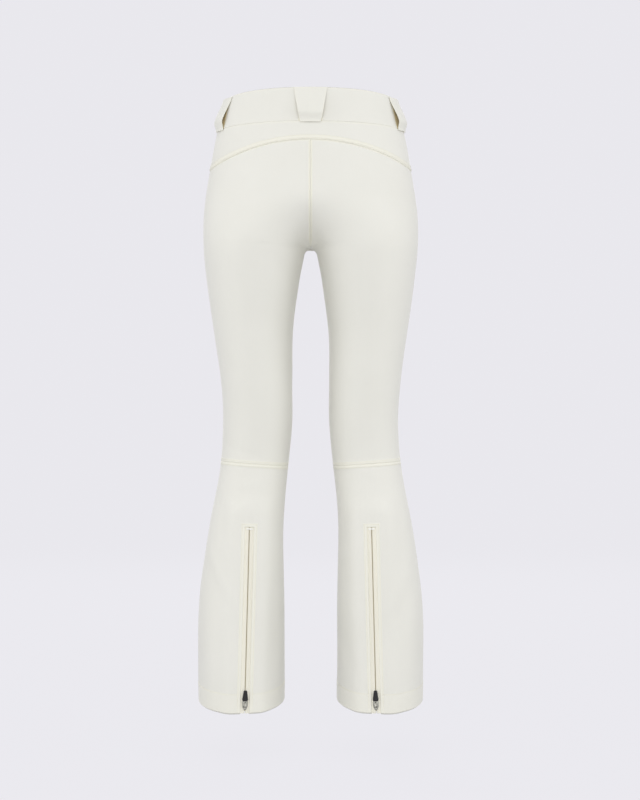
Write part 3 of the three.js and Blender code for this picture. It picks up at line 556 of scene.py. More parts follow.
def makeObject(name, points, faces, material, uv=None, edge=None, sharp=None):
    mesh = bpy.data.meshes.new(name)
    mesh.from_pydata((np.asarray(points, float) * mm).tolist(), [], faces)
    mesh.update()
    if uv is not None:
        layer = mesh.uv_layers.new(name="flat")
        loops = np.empty(len(mesh.loops), int)
        mesh.loops.foreach_get("vertex_index", loops)
        layer.data.foreach_set("uv", (np.asarray(uv)[loops] * mm).ravel())
    if edge is not None:
        mesh.attributes.new("edge", "FLOAT", "POINT").data.foreach_set("value",
            np.asarray(edge, float).ravel())
    mesh.materials.append(material)
    mesh.shade_smooth()
    if sharp is not None:
        mesh.set_sharp_from_angle(angle=math.radians(sharp))
    obj = bpy.data.objects.new(name, mesh)
    scene.collection.objects.link(obj)
    return obj


def gridFaces(rows, columns, keep=None, ring=False):
    faces = []
    wide = columns if ring else columns - 1
    for j in range(rows - 1):
        for i in range(wide):
            if keep is not None and not keep[j, i]:
                continue
            k = (i + 1) % columns
            faces.append((j * columns + i, (j + 1) * columns + i, (j + 1) * columns + k, j * columns + k))
    return faces


# Faces of a grid of cloth turned so that its normals agree with the figure's.
def clothObject(name, points, normals, keep, material, uv, edge, thickness, ring=False):
    rows, columns = points.shape[:2]
    faces = gridFaces(rows, columns, keep, ring)
    j, i = rows // 2, columns // 3
    turn = np.cross(points[j + 1, i] - points[j, i], points[j, i + 1] - points[j, i])
    if turn @ normals[j, i] < 0:
        faces = [f[::-1] for f in faces]
    flat = points.reshape(-1, 3)
    used = np.zeros(len(flat), bool)
    used[np.array(faces).ravel()] = True
    index = np.cumsum(used) - 1
    faces = [tuple(int(index[v]) for v in f) for f in faces]
    obj = makeObject(name, flat[used], faces, material, uv.reshape(-1, 2)[used], edge.reshape(-1)[used])
    solid = obj.modifiers.new("thickness", "SOLIDIFY")
    solid.thickness, solid.offset = thickness * mm, -1
    return obj


# Hangs a cloth piece from its body's empty and hides the solid model's parts that it replaces.
def declareCloth(obj, body, nodes):
    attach(obj, body)
    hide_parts(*nodes)
    return obj


# Columns are shares of [whole width, place of the zip, mm]; rows of [top, bottom, mm, slant of the zip].
edgeSteps = [-1.4, 0, 0.2, 0.5, 0.9, 1.4, 2.1, 3.0, 4.0, 5.2, 7, 9.5]
outerSteps = [(0, 0, v) for v in edgeSteps]
innerSteps = [(1, 0, -v) for v in edgeSteps[::-1]]
windowSteps = [26, 21, 17, 15, 14, 13.2, 12.5, 11.8, 11, 10, 9.2, 8.6, 8.2, 7.8, 7.5]


def filled(a, b, count):
    return [tuple(mix(np.array(a), np.array(b), t)) for t in np.linspace(0, 1, count + 1)[1:-1]]


def chain(*groups):
    made = list(groups[0])
    for count, group in zip(groups[1::2], groups[2::2]):
        made += filled(made[-1], group[0], count) + list(group)
    return made


def zipColumns(half):
    steps = [(0, 1, v) for v in [*(-(w - 7.4 + half) for w in windowSteps), -half, -half + 0.3]]
    return [*steps, (0, 1, -half / 2), (0, 1, 0), (0, 1, half / 2),
        *((0, 1, -v[2]) for v in reversed(steps))]


def atHeights(steps, height=0, slant=0.0):
    return [(0, 0, height + v, slant) for v in steps]


crotchRows = atHeights([62, 50, 38, 28, 20, 14, 9.5, 6, 3.6, 2, 0.9, 0.2, -0.2, -0.9, -2, -4, -7, -11, -16,
    -24, -34, -48, -66], crotch)
topRows = [(1, 0, -v, 0) for v in edgeSteps]
hemSteps = [38, 34.5, 32.5, 31.4, 30.6, 30, 29.4, 28.6, 27.4, 25, 20, 14, 9, 6, 4,
    2.6, 1.6, 0.9, 0.4, 0, -1.4]
hemRows = [(0, 1, v, 0) for v in hemSteps]


def panelPoint(panel, arc, z):
    total, zipArc = rowsOf(panel["table"], z)
    x, y = lookup(panel["table"], np.clip(arc, 0.04, total - 0.04) / total, z)
    if panel.get("inner") is not None:
        x = np.where(z > crotch, np.maximum(x, panel["inner"]), x)
    p, n = onCloth(x, y, z)
    return p, n, total, zipArc


def mirrored(v, side):
    return v * np.stack([side, np.ones_like(side), np.ones_like(side)], -1)


# The surface of a panel with its seams, folds and creases, at arcs in mm from the side seam.
def dressed(panel, arc, z, side, lift=0.0):
    p, n, total, zipArc = panelPoint(panel, arc, z)
    p, n = mirrored(p, side), mirrored(n, side)
    x, y = p[..., 0], p[..., 1]
    slant = panel["line"]["slant"]
    off = arc - zipArc
    place = dict(outer=arc, inner=total - arc, across=off * math.cos(math.atan(slant)),
        along=z + slant * np.clip(off, -26, 26), top=panel["top"](x, y) - z,
        bottom=z - panel["bottom"](x, y), z=z, x=x)
    relief, paintedLight = panel["relief"](place)
    return p + n * (relief + softFolds(p) + lift)[..., None], p, n, paintedLight, off


def makePanel(name, panel, columns, rows, material=softshell):
    cols, rws = np.array([c[:3] for c in columns], float), np.array(rows, float)
    side = np.array(panel["sides"], float)
    tilt = -panel["line"]["slant"]

    def heights(height, guess):
        z = np.full(len(cols), float(guess))
        for _ in range(9):
            total, zipArc = rowsOf(panel["table"], z)
            arc = cols[:, 0] * total + cols[:, 1] * zipArc + cols[:, 2]
            p = mirrored(panelPoint(panel, arc, z)[0], side)
            z = height(p[:, 0], p[:, 1])
        return z

    top, bottom = heights(panel["top"], panel["guess"][0]), heights(panel["bottom"], panel["guess"][1])
    z = rws[:, :1] * top + rws[:, 1:2] * bottom + rws[:, 2:3]
    total, zipArc = rowsOf(panel["table"], z)
    off = cols[:, 0] * total + cols[:, 1] * zipArc + cols[:, 2] - zipArc
    z = z + rws[:, 3:4] * tilt * np.clip(off, -26, 26)
    total, zipArc = rowsOf(panel["table"], z)
    arc = cols[:, 0] * total + cols[:, 1] * zipArc + cols[:, 2]
    sides = np.broadcast_to(side, z.shape)
    points, base, normals, paintedLight, off = dressed(panel, arc, z, sides)
    keep = None
    if panel.get("window"):
        keep = ~panel["window"](off, z + panel["line"]["slant"] * np.clip(off, -26, 26))
    uv = np.stack([arc * sides, z], -1)
    obj = clothObject(name, points, normals, keep, material, uv, paintedLight, cloth["thickness"])
    return obj, base


# The legs' panels

windowTop, windowFlap = calfLine["top"][1], 0.3
pocketTop, pocketEnd = pocketLine["top"][1], pocketLine["end"][1]


def inWindow(line, start, end):
    inner = (line["half"] - windowFlap / 2) / math.cos(math.atan(line["slant"]))

    def test(off, along):
        middle = [v[:-1, :-1] + v[1:, 1:] for v in (off, along)]
        return (np.abs(middle[0] / 2) < inner - 0.02) & (middle[1] / 2 < start
            - 0.32) & (middle[1] / 2 > end + 0.32)

    return test


# Distance from the zip's window, whose edges are turned in and whose frame is topstitched.
def windowRelief(place, line, start, end, band):
    sideways = np.abs(place["across"]) - line["half"]
    away = np.maximum(sideways, np.maximum(place["along"] - start, end - place["along"]))
    lift = np.where(away < -0.02, -2.0, -rolled(np.maximum(away, 0), 0.8))
    lift = lift + 0.5 * plateau(away, 0.9, band, 0.7)
    lift = lift - 0.28 * lump(away, band - 1.0, 0.45) - 0.12 * lump(away, band + 1.4, 0.8)
    beyond = end - place["along"] if end > -1000 else place["along"] - start
    dent = np.exp(-((place["across"] / 5.2) ** 4)
        - ((beyond - 6) / 11) ** 4)  # where an open zip's pull lies
    # the raised frame round the window gets a painted highlight
    return lift - line["rest"] * dent, 0.95 * plateau(away, 0, band, 0.5)


def backCalfRelief(place):
    top, bottom = place["top"], place["bottom"]
    lift = seamRelief(top, 1.0, 0.75, 3.0, 1.7) + seamRelief(place["outer"],
        0.8) + seamRelief(place["inner"], 0.8)
    frameLift, paintedLight = windowRelief(place, calfLine, windowTop, -2000, 5.6)
    lift = lift + frameLift + hemRelief(bottom)
    # painted highlight along the knee seam, side seams, zip frame and hem
    paintedLight = np.maximum.reduce([paintedLight, 0.9 * seamHighlight(top, 7), 0.5 * seamHighlight(place["outer"], 5),
        0.5 * seamHighlight(place["inner"], 5), hemHighlight(bottom)])
    return lift, paintedLight


def hemRelief(d):
    return -rolled(d, 1.3) + 0.3 * smooth(31.5, 29.5, d) - 0.35 * lump(d, 30, 0.8)


# painted highlight: the turned-up hem's band and its folded edge made brighter
def hemHighlight(d):
    return 0.45 * (1 - smooth(29, 33, d)) + 0.3 * (1 - smooth(1, 6, d))


def backThighRelief(place):
    top, bottom, inner = place["top"], place["bottom"], place["inner"]
    rise = smooth(crotch - 6, crotch + 6, place["z"])
    lap = -1.6 * (1 - smooth(-0.4, 3.2, top))
    lift = lap + seamRelief(bottom, 1.0, 0.75, 3.0, 1.7) + seamRelief(place["outer"], 0.8)
    lift = lift + seamRelief(inner, 0.7) + 0.45 * rise * lump(inner, 1.9, 0.9)
    # painted highlight along the knee seam, side seams, rise and yoke lap
    paintedLight = np.maximum.reduce([0.9 * seamHighlight(bottom, 7), 0.5 * seamHighlight(place["outer"], 5),
        (0.5 + 0.45 * rise) * seamHighlight(inner, 4), 0.5 * seamHighlight(np.abs(top), 4)])
    return lift, paintedLight


def yokeRelief(place):
    top, bottom = place["top"], place["bottom"]
    lift = seamRelief(top, 0.9) + seamRelief(place["outer"], 0.8)
    lift = lift - rolled(bottom, 0.8) + 0.75 * plateau(bottom, 0.5, 6.2, 1.0) - 0.25 * lump(bottom, 6.4, 0.5)
    # painted highlight along the seams and on the yoke's raised lapped edge
    paintedLight = np.maximum.reduce([0.5 * seamHighlight(top, 4), 0.5 * seamHighlight(place["outer"], 5),
        0.95 * plateau(bottom, -1, 6.6, 0.6)])
    return lift, paintedLight


def frontRelief(place):
    top, bottom, inner = place["top"], place["bottom"], place["inner"]
    rise = smooth(crotch - 6, crotch + 6, place["z"])
    lift = seamRelief(top, 0.9) + seamRelief(place["outer"], 0.8)
    lift = lift + seamRelief(inner, 0.9) + 0.4 * rise * lump(inner, 2.2, 1.1)
    knee = np.exp(-(((place["z"] + 600) / 60) ** 2))
    frameLift, paintedLight = windowRelief(place, pocketLine, pocketTop, pocketEnd, 5.0)
    lift = lift + frameLift + hemRelief(bottom) + 0.4 * knee
    # painted highlight along the seams, pocket zip frame and hem
    paintedLight = np.maximum.reduce([paintedLight, 0.5 * seamHighlight(top, 4), 0.5 * seamHighlight(place["outer"], 5),
        (0.5 + 0.4 * rise) * seamHighlight(inner, 5), hemHighlight(bottom)])
    return lift, paintedLight


waistSeamHeight, waistEdgeHeight = waistHeight(waist["seam"]), waistHeight(waist["edge"])
zipTopSteps = [22, 17, 13, 10.5, 8.6, 7.4, 6.6, 5.8, 5.0, 4.4, 3.6, 2.6, 1.6, 1.0, 0.6, 0.25, 0, -0.3]
lapSteps = [-6, -3, -0.9, -0.3, 0.2, 0.7, 1.2, 1.8, 2.6, 3.6, 5, 7.5, 11]
panels = {}

for label, side in (("left", 1), ("right", -1)):
    body = "trousers"
    columns = chain(outerSteps, 15, zipColumns(calfLine["half"]), 13, innerSteps)
    rows = chain(topRows, 12, atHeights(zipTopSteps, windowTop, 1.0), 50,
        [(0, 1, 44, 0.4), (0, 1, 40, 0.2)], 1, hemRows)
    panel = dict(table=backTable, line=calfLine, top=kneeHeight, bottom=hemHeight, guess=(kneeMid, hemMid),
        relief=backCalfRelief, window=inWindow(calfLine, windowTop, -2000), sides=[side] * len(columns))
    obj, base = makePanel(f"back_calf_cloth_{label}", panel, columns, rows)
    declareCloth(obj, body, [f"back_calf_{label}"])
    panels["calf", side] = panel

    columns = chain(outerSteps, 40, innerSteps)
    rows = chain([(1, 0, -v, 0) for v in lapSteps], 14, crotchRows, 70,
        [(0, 1, v, 0) for v in edgeSteps[::-1]])
    panel = dict(table=backTable, line=calfLine, top=yokeHeight, bottom=kneeHeight, guess=(-100, kneeMid),
        relief=backThighRelief, inner=0.04, sides=[side] * len(columns))
    obj, base = makePanel(f"back_thigh_cloth_{label}", panel, columns, rows)
    declareCloth(obj, body, [f"back_thigh_{label}"])
    panels["thigh", side] = panel

    columns = chain(outerSteps, 12, zipColumns(pocketLine["half"]), 14, innerSteps)
    rows = chain(topRows, 1, atHeights(zipTopSteps[6:], pocketTop, 1.0), 32,
        atHeights([-v for v in zipTopSteps[:3:-1]], pocketEnd, 1.0), 2, crotchRows[7:], 150, hemRows)
    panel = dict(table=frontLeftTable if side > 0 else frontRightTable, line=pocketLine, top=waistSeamHeight,
        bottom=hemHeight, guess=(-75, hemMid), relief=frontRelief,
        window=inWindow(pocketLine, pocketTop, pocketEnd), sides=[side] * len(columns))
    obj, base = makePanel(f"front_leg_cloth_{label}", panel, columns, rows)
    declareCloth(obj, body, [f"front_leg_{label}"])
    panels["front", side] = panel

half = chain(outerSteps, 40, [(1, 0, 0)])
columns = half + half[-2::-1]
yokePanel = dict(table=backTable, line=calfLine, top=waistSeamHeight, bottom=yokeHeight, guess=(-60, -100),
    relief=yokeRelief, sides=[1] * len(half) + [-1] * (len(half) - 1))
rows = chain(topRows[:9], 10, [(0, 1, v, 0) for v in [9, 8, 7.2, 6.6, 6, 5, 3.5, 2, 1.2, 0.7, 0.3, 0, -0.9]])
obj, base = makePanel("back_yoke_cloth", yokePanel, columns, rows)
declareCloth(obj, "trousers", ["back_yoke"])
panels["yoke", 1] = yokePanel
print("panels ready")

# The waistband and what lies behind the cloth


# The whole body's surface at angles from the left side round by the back, for the band above the legs.
def onBody(angle, z):
    angle, z = np.broadcast_arrays(np.asarray(angle, float), np.asarray(z, float))
    s = section(z)
    dx, dy = s["outer"] * np.cos(angle), s["b"] * np.sin(angle)
    t = leave(s, 0.0, s["cy"], dx, dy)
    return onCloth(t * dx, s["cy"] + t * dy, z)


def frontAngle(x):
    def at(z):
        s = section(z)
        return np.arctan2(-leave(s, x, s["cy"], 0, -s["b"]), x / s["outer"])

    return at


def flatAngle(value):
    return lambda z: np.full(np.shape(z), float(value))


# A strip of cloth round the body between two angles. Steps are in mm from each end and each edge.
def bodySheet(name, start, end, steps, count, rows, heights, relief, thickness, material, finish=0.0):
    top, bottom = heights
    middle = (top(0, 0) + bottom(0, 0)) / 2
    shares = np.linspace(0, 1, 400)
    line = onBody(mix(start(middle), end(middle), shares), middle)[0]
    arcs = np.concatenate([[0], np.cumsum(np.linalg.norm(np.diff(line, axis=0), axis=1))])
    length = arcs[-1]
    inside = np.linspace(steps[-1], length - steps[-1], count)[1:-1]
    along = np.concatenate([steps, inside, length - np.array(steps[::-1])])
    share = np.interp(np.clip(along, 0.04, length - 0.04), arcs, shares)
    rws = np.array(rows, float)

    def edgeHeight(height):
        z = np.full(len(share), float(middle))
        for _ in range(6):
            p = onBody(mix(start(z), end(z), share), z)[0]
            z = height(p[:, 0], p[:, 1])
        return z

    high, low = edgeHeight(top), edgeHeight(bottom)
    z = rws[:, :1] * high + rws[:, 1:2] * low + rws[:, 2:3]
    angle = mix(start(z), end(z), share)
    base, normals = onBody(angle, z)
    place = dict(start=np.broadcast_to(along, z.shape), end=np.broadcast_to(length - along, z.shape),
        top=high - z, bottom=z - low, x=base[..., 0], y=base[..., 1])
    lift, paintedLight = relief(place)
    points = base + normals * (lift + finish)[..., None]
    uv = np.stack([np.broadcast_to(along, z.shape), z], -1)
    obj = clothObject(name, points, normals, None, material, uv, paintedLight, thickness)
    return obj, base


sewnSteps = [-1.2, 0, 0.25, 0.6, 1.0, 1.6, 2.6, 4, 6, 9]
bandRows = chain([(1, 0, -v) for v in sewnSteps], 16, [(0, 1, v) for v in sewnSteps[::-1]])
# belt loops: name, angle round the waist in degrees, half widths at the top and the bottom
loops = [("center_back", 90, 28, 17.5), ("side_left", 14.5, 24, 19), ("side_right", 165.5, 24, 19),
    ("front_left", -62, 21, 17), ("front_right", -118, 21, 17)]
dive = dict(start=33.0, step=6.0, sink=6.0)  # where the left end goes down under the tab


def bandRelief(place):
    lift = -rolled(place["top"], 1.3) - rolled(place["bottom"], 1.0)
    lift = lift - rolled(place["start"], 0.8) - rolled(place["end"], 0.8)
    lift = lift + 0.5 * np.sin(place["x"] / 17) * np.sin(place["top"]
        / 19) + 0.25 * lump(place["bottom"], 3, 1.4)
    # painted highlight along the top fold, the waist seam and the end
    paintedLight = np.maximum.reduce([0.5 * seamHighlight(place["top"], 4), 0.2 * seamHighlight(place["bottom"], 4),
        0.3 * seamHighlight(place["start"], 4)])
    # painted shade: the band under each belt loop gets values above 1.1, which the cloth's shader turns warm
    # tan for the bounce light in the loop's gap
    shade = np.zeros(paintedLight.shape)
    for _, degrees, top, bottom in loops:
        x, y, _ = onBody(math.radians(degrees), -40.0)[0]
        away = np.hypot(place["x"] - x, place["y"] - y)
        shade = np.maximum(shade, 1 - smooth(bottom - 1, bottom + 4.5, away))
    return lift, np.maximum(paintedLight, 2 * shade * smooth(3, 12, place["top"]))


def divingRelief(place):
    lift, paintedLight = bandRelief(place)
    return lift - dive["sink"] * smooth(dive["start"], dive["start"] - dive["step"], place["x"]), paintedLight


def tabRelief(place):
    edges = np.minimum.reduce([place["start"], place["end"], place["top"], place["bottom"]])
    lift = -rolled(edges, 1.1, 0.6) - 0.2 * lump(edges, 4.2, 0.6)
    return lift, 0.6 * seamHighlight(edges, 5)


def plainRelief(place):
    edges = np.minimum.reduce([place["start"], place["end"], place["top"], place["bottom"]])
    return -rolled(edges, 0.5, 0.2), 0 * edges


waistHeights = (waistEdgeHeight, waistSeamHeight)
obj, base = bodySheet("waistband_back_cloth", flatAngle(0.0), flatAngle(math.pi), sewnSteps, 120, bandRows,
    waistHeights, bandRelief, 1.1, softshell)
declareCloth(obj, "trousers", ["waistband_back"])
obj, base = bodySheet("waistband_right_cloth", flatAngle(-math.pi), frontAngle(-35.4), sewnSteps, 44,
    bandRows, waistHeights, bandRelief, 1.1, softshell)
declareCloth(obj, "trousers", ["waistband_front_right"])
obj, base = bodySheet("waistband_left_cloth", flatAngle(0.0), frontAngle(-30.0), sewnSteps, 90, bandRows,
    waistHeights, divingRelief, 1.1, softshell)
declareCloth(obj, "trousers", ["waistband_front_left"])
obj, base = bodySheet("waistband_tab_cloth", frontAngle(-34.6), frontAngle(25.0),
    [-0.6, 0, 0.3, 0.7, 1.1, 1.8, 2.8, 3.8, 4.6, 6], 30,
    chain([(1, 0, -v) for v in [-0.6, 0, 0.3, 0.7, 1.1, 1.8, 2.8, 3.8, 4.6, 6]], 18,
    [(0, 1, v) for v in [6, 4.6, 3.8, 2.8, 1.8, 1.1, 0.7, 0.3, 0, -0.6]]), waistHeights,
    tabRelief, 1.6, softshell)
declareCloth(obj, "waist_tab", ["waistband_tab"])


def insetHeights(inset):
    return (lambda x, y: waistEdgeHeight(x, y) - inset, lambda x, y: waistSeamHeight(x, y) + inset)


def napRelief(depth):
    def relief(place):
        lift, paintedLight = plainRelief(place)
        grip = 0.35 * (np.sin(place["top"] * 2 * math.pi
            / 7) > 0.55) * (place["top"] > 8) * (place["bottom"] > 8)
        return lift - depth - grip, paintedLight

    return relief


plainSteps = [-0.2, 0, 0.3, 0.8, 2, 5]
plainRows = chain([(1, 0, -v) for v in plainSteps], 34, [(0, 1, v) for v in plainSteps[::-1]])
obj, base = bodySheet("waistband_facing_cloth", frontAngle(35.0),
    lambda z: 2 * math.pi + frontAngle(-36.6)(z), plainSteps, 150, plainRows, insetHeights(1.0),
    napRelief(2.2), 0.8, lining)
declareCloth(obj, "trousers", ["waistband_facing"])

obj, base = bodySheet("fly_shield_cloth", frontAngle(-24.0), frontAngle(26.0), plainSteps, 14,
    chain([(1, 0, -v) for v in plainSteps], 40, [(0, 1, v) for v in plainSteps[::-1]]),
    (lambda x, y: -76 + 0 * np.asarray(x), lambda x, y: -216 + 0 * np.asarray(x)),
    lambda place: (plainRelief(place)[0] - 15, 0 * place["x"]), 1.4, lining)
declareCloth(obj, "trousers", ["fly_shield"])

# Belt loops: tapered straps, sewn down at both ends and standing off between them.
loopShape = dict(stand=6.6, thickness=1.8, lie=0.7, drop=2.0, foot=0.02, peak=0.72)
for name, degrees, top, bottom in loops:
    middle = math.radians(degrees)
    ends = []
    for height, shift in ((waistEdgeHeight, 0.0), (waistSeamHeight, -loopShape["drop"])):
        z = -40.0
        for _ in range(8):
            p = onBody(middle, z)[0]
            z = float(height(p[0], p[1])) + shift
        ends.append(z)
    side = np.array([-1.15, -1, -0.985, -0.96, -0.92, *np.linspace(-0.86, 0.86, 18),
        0.92, 0.96, 0.985, 1, 1.15])
    share = np.array([-0.012, 0, 0.008, 0.02, 0.036, *np.linspace(0.055, 0.945, 44),
        0.964, 0.98, 0.992, 1, 1.012])
    v, u = np.meshgrid(np.clip(share, 0, 1), np.clip(side, -1, 1), indexing="ij")
    z = mix(ends[0], ends[1], v)
    halfWidth = mix(top, bottom, v) - 0.25 * (np.abs(side) > 0.9)
    span = np.linalg.norm(onBody(middle + 0.1, z)[0] - onBody(middle - 0.1, z)[0], axis=-1)
    base, normals = onBody(middle + u * 0.2 * halfWidth / span, z)
    foot, peak = loopShape["foot"], loopShape["peak"]
    stand = mix(loopShape["lie"], loopShape["stand"],
        smooth(foot, peak, v) * (1 - smooth(peak, 1 - foot, v)))
    edges = np.minimum((1 - np.abs(side)) * (top + bottom) / 2,
        np.minimum(share, 1 - share)[:, None] * (ends[0] - ends[1]))
    lift = stand + loopShape["thickness"] - rolled(edges, 0.9, 0.7)
    lift = lift + 0.5 * np.cos(u * 1.5)
    points = base + normals * lift[..., None]
    # painted highlight: the whole loop face a little brighter, more towards its folded edges
    paintedLight = 0.15 + 0.3 * seamHighlight(edges, 4)
    uv = np.stack([u * halfWidth, z], -1)
    obj = clothObject(f"belt_loop_cloth_{name}", points, normals, None, softshell, uv, paintedLight, 1.5)
    # the loop's inner face: fleece whose tan is painted bounce light
    obj.data.materials.append(fleeceWithBounce)
    obj.modifiers["thickness"].material_offset = 1
    declareCloth(obj, "trousers", [f"belt_loop_{name}"])
print("waistband ready")


# Rings round one leg: the hem's facing, the gaiter and its elastic
def legRing(name, side, count, rows, depth, thickness, material, height=None, wave=None, gap=None):
    table = frontLeftTable if side > 0 else frontRightTable
    shares = np.linspace(0, 1, count // 2 + 1)
    made, bases, normalsMade, uvs = [], [], [], []
    for half, tableOf in ((shares[:-1], backTable), (1 - shares[:-1], table)):
        panel = dict(table=tableOf, line=calfLine)
        z = np.repeat(np.array(rows, float)[:, None], len(half), 1)
        for _ in range(5 if height else 0):
            total, _ = rowsOf(tableOf, z)
            p = panelPoint(panel, half * total, z)[0]
            z = height(p[..., 0], p[..., 1]) + np.array(rows, float)[:, None]
        total, _ = rowsOf(tableOf, z)
        p, n, _, _ = panelPoint(panel, half * total, z)
        sides = np.full(z.shape, float(side))
        p, n = mirrored(p, sides), mirrored(n, sides)
        turn = (half if half[0] == 0 else 2 - half) * math.pi
        lift = -depth(z) + (wave(turn, z) if wave else 0)
        made.append(p + n * lift[..., None])
        bases.append(p)
        normalsMade.append(n)
        uvs.append(np.stack([(half if half[0] == 0 else 2 - half) * total, z], -1))
    points, base = np.concatenate(made, 1), np.concatenate(bases, 1)
    normals, uv = np.concatenate(normalsMade, 1), np.concatenate(uvs, 1)
    keep = None
    if gap:
        centre = (points[:-1] + points[1:]) / 2
        keep = ~((np.abs(np.abs(centre[..., 0]) - 106.5) < gap) & (centre[..., 1] > 40))
    obj = clothObject(name, points, normals, keep, material, uv,
        np.zeros(points.shape[:2]), thickness, ring=True)
    return obj, np.concatenate([base, base[:, :1]], 1)


def gaiterDepth(z):
    return np.interp(z, [-940, -710, -688], [22, 10, 5.0])


def gathers(turn, z):
    return 1.3 * smooth(-800, -940, z) * np.sin(turn * 44 + 2 * np.sin(turn * 7))


def ribs(turn, z):
    return 0.25 * np.sin(turn * 150)


for label, side in (("left", 1), ("right", -1)):
    obj, base = legRing(f"hem_facing_cloth_{label}", side, 180, [30, 28, 22, 14, 8, 4, 1],
        lambda z: 1.7 + 0 * z, 0.8, lining, height=hemHeight, gap=15)
    declareCloth(obj, "trousers", [f"hem_facing_{label}"])
    obj, base = legRing(f"snow_gaiter_cloth_{label}", side, 420, list(np.linspace(-688, -940, 46)),
        gaiterDepth, 0.8, lining, wave=gathers)
    declareCloth(obj, "trousers", [f"snow_gaiter_{label}"])
    obj, base = legRing(f"gaiter_elastic_band_{label}", side, 900,
        [-940.6, -941.2, -942.4, -946, -952, -958, -961, -962, -962.6],
        lambda z: 21.5 + 0.8 * (np.abs(z + 951.6) > 10.6), 2.0, elastic, wave=ribs)
    declareCloth(obj, "trousers", [f"gaiter_elastic_{label}"])

    # pocket bag, hanging behind the front between two lines down the thigh
    share = np.linspace(0, 1, 34)
    heights = np.linspace(-84, -248, 50)
    v, u = np.meshgrid(heights, share, indexing="ij")
    s = section(v)

    def angleAt(x):
        return np.arctan2(leave(s, x, s["cy"], 0, -s["b"]), (x - s["cx"]) / s["a"])

    angle = mix(angleAt(np.minimum(146.0, 0.9 * s["outer"])), angleAt(64.0 + 0 * v), u)
    dx, dy = s["a"] * np.cos(angle), -s["b"] * np.sin(angle)
    t = leave(s, s["cx"], s["cy"], dx, dy)
    base, normals = onCloth(s["cx"] + t * dx, s["cy"] + t * dy, v)
    sides = np.full(v.shape, float(side))
    base, normals = mirrored(base, sides), mirrored(normals, sides)
    lift = -5.8 - 0.5 * (1 + np.sin(u * 9 + side) * np.sin(v / 21))
    points = base + normals * lift[..., None]
    uv = np.stack([u * 90, v], -1)
    obj = clothObject(f"pocket_bag_cloth_{label}", points, normals, None, lining, uv, 0 * v, 1.4)
    declareCloth(obj, "trousers", [f"pocket_bag_{label}"])
print("linings ready")


# Zips, each in its own frame: X across, Y the way the slider opens, Z out of the cloth
sliderSize = dict(length=16.0, half=4.6, plate=1.2, crown=3.2, pin=0.6, fit=0.3, tapeFace=1.5)


def zipFrame(prefix, suffix, size):
    y = Vector(joints[f"{prefix}_slide{suffix}"]["axis"]).normalized()
    x = Vector(joints[f"{prefix}_pull_hinge{suffix}"]["axis"]).normalized()
    z = x.cross(y).normalized()
    pin = sliderSize["fit"] - sliderSize["tapeFace"] + (sliderSize["plate"] + sliderSize["crown"] / 2) * size
    origin = Vector(joints[f"{prefix}_pull_hinge{suffix}"]["pos_m"]) / mm - pin * z
    tape = frame["nodes"][f"{prefix}_tape_{'left' if suffix == '' else 'inner' + suffix}"]
    reach = [(v.co / mm - origin).dot(y) for v in tape.data.vertices]
    axes = np.array([x, y, z])
    return dict(origin=np.array(origin), axes=axes, low=min(reach), high=max(reach), pin=pin, size=size)


def placed(zipAt, points):
    return zipAt["origin"] + np.asarray(points, float) @ zipAt["axes"]


def closedObject(name, points, faces, material, sharp=None, bevel=None, uv=None):
    obj = makeObject(name, points, faces, material, uv=uv)
    b = bmesh.new()
    b.from_mesh(obj.data)
    bmesh.ops.remove_doubles(b, verts=b.verts, dist=1e-7)
    bmesh.ops.recalc_face_normals(b, faces=b.faces)
    if bevel:
        edges = [e for e in b.edges if e.is_manifold and e.calc_face_angle(0) > math.radians(28)]
        bmesh.ops.bevel(b, geom=edges, offset=bevel * mm, segments=2, affect="EDGES",
            profile=0.6, clamp_overlap=True)
    b.to_mesh(obj.data)
    b.free()
    obj.data.shade_smooth()
    obj.data.set_sharp_from_angle(angle=math.radians(sharp or 40))
    return obj


# A profile of points swept along Y: the cross-section is given in X and Z.
def swept(profile, stations_):
    count = len(profile)
    points = [(x, y, z) for y in stations_ for x, z in profile]
    faces = []
    for j in range(len(stations_) - 1):
        for i in range(count):
            k = (i + 1) % count
            faces.append((j * count + i, j * count + k, (j + 1) * count + k, (j + 1) * count + i))
    faces.append(tuple(range(count))[::-1])
    faces.append(tuple((len(stations_) - 1) * count + i for i in range(count)))
    return points, faces


# An outline in X and Y filled by rings, with a height for its top and bottom at each point.
def domed(outline, rings, top, bottom):
    outline = np.array(outline, float)
    centre = outline.mean(0)
    count = len(outline)
    points, faces = [], []
    shares = [1 - (r / rings) ** 1.6 for r in range(rings)]
    for surface, way in ((top, 1), (bottom, -1)):
        start = len(points)
        for share in shares:
            for p in centre + (outline - centre) * share:
                points.append((p[0], p[1], surface(p[0], p[1], share)))
        points.append((*centre, surface(*centre, 0.0)))
        for r in range(rings - 1):
            for i in range(count):
                k = (i + 1) % count
                a, b = start + r * count, start + (r + 1) * count
                faces.append((a + i, a + k, b + k, b + i)[::way])
        last = start + (rings - 1) * count
        for i in range(count):
            faces.append((last + i, last + (i + 1) % count, len(points) - 1)[::way])
    for i in range(count):
        k = (i + 1) % count
        half = len(points) // 2
        faces.append((i, half + i, half + k, k))
    return points, faces


def roundedOutline(corners, radius, steps=5):
    made = []
    for i, corner in enumerate(corners):
        a, p, b = (np.array(corners[j % len(corners)], float) for j in (i - 1, i, i + 1))
        toA, toB = (v / np.linalg.norm(v) for v in (a - p, b - p))
        reach = min(radius, np.linalg.norm(a - p) * 0.45, np.linalg.norm(b - p) * 0.45)
        for t in np.linspace(0, 1, steps):
            made.append((1 - t) ** 2 * (p + toA * reach) + 2 * t * (1 - t) * p + t * t * (p + toB * reach))
    return made


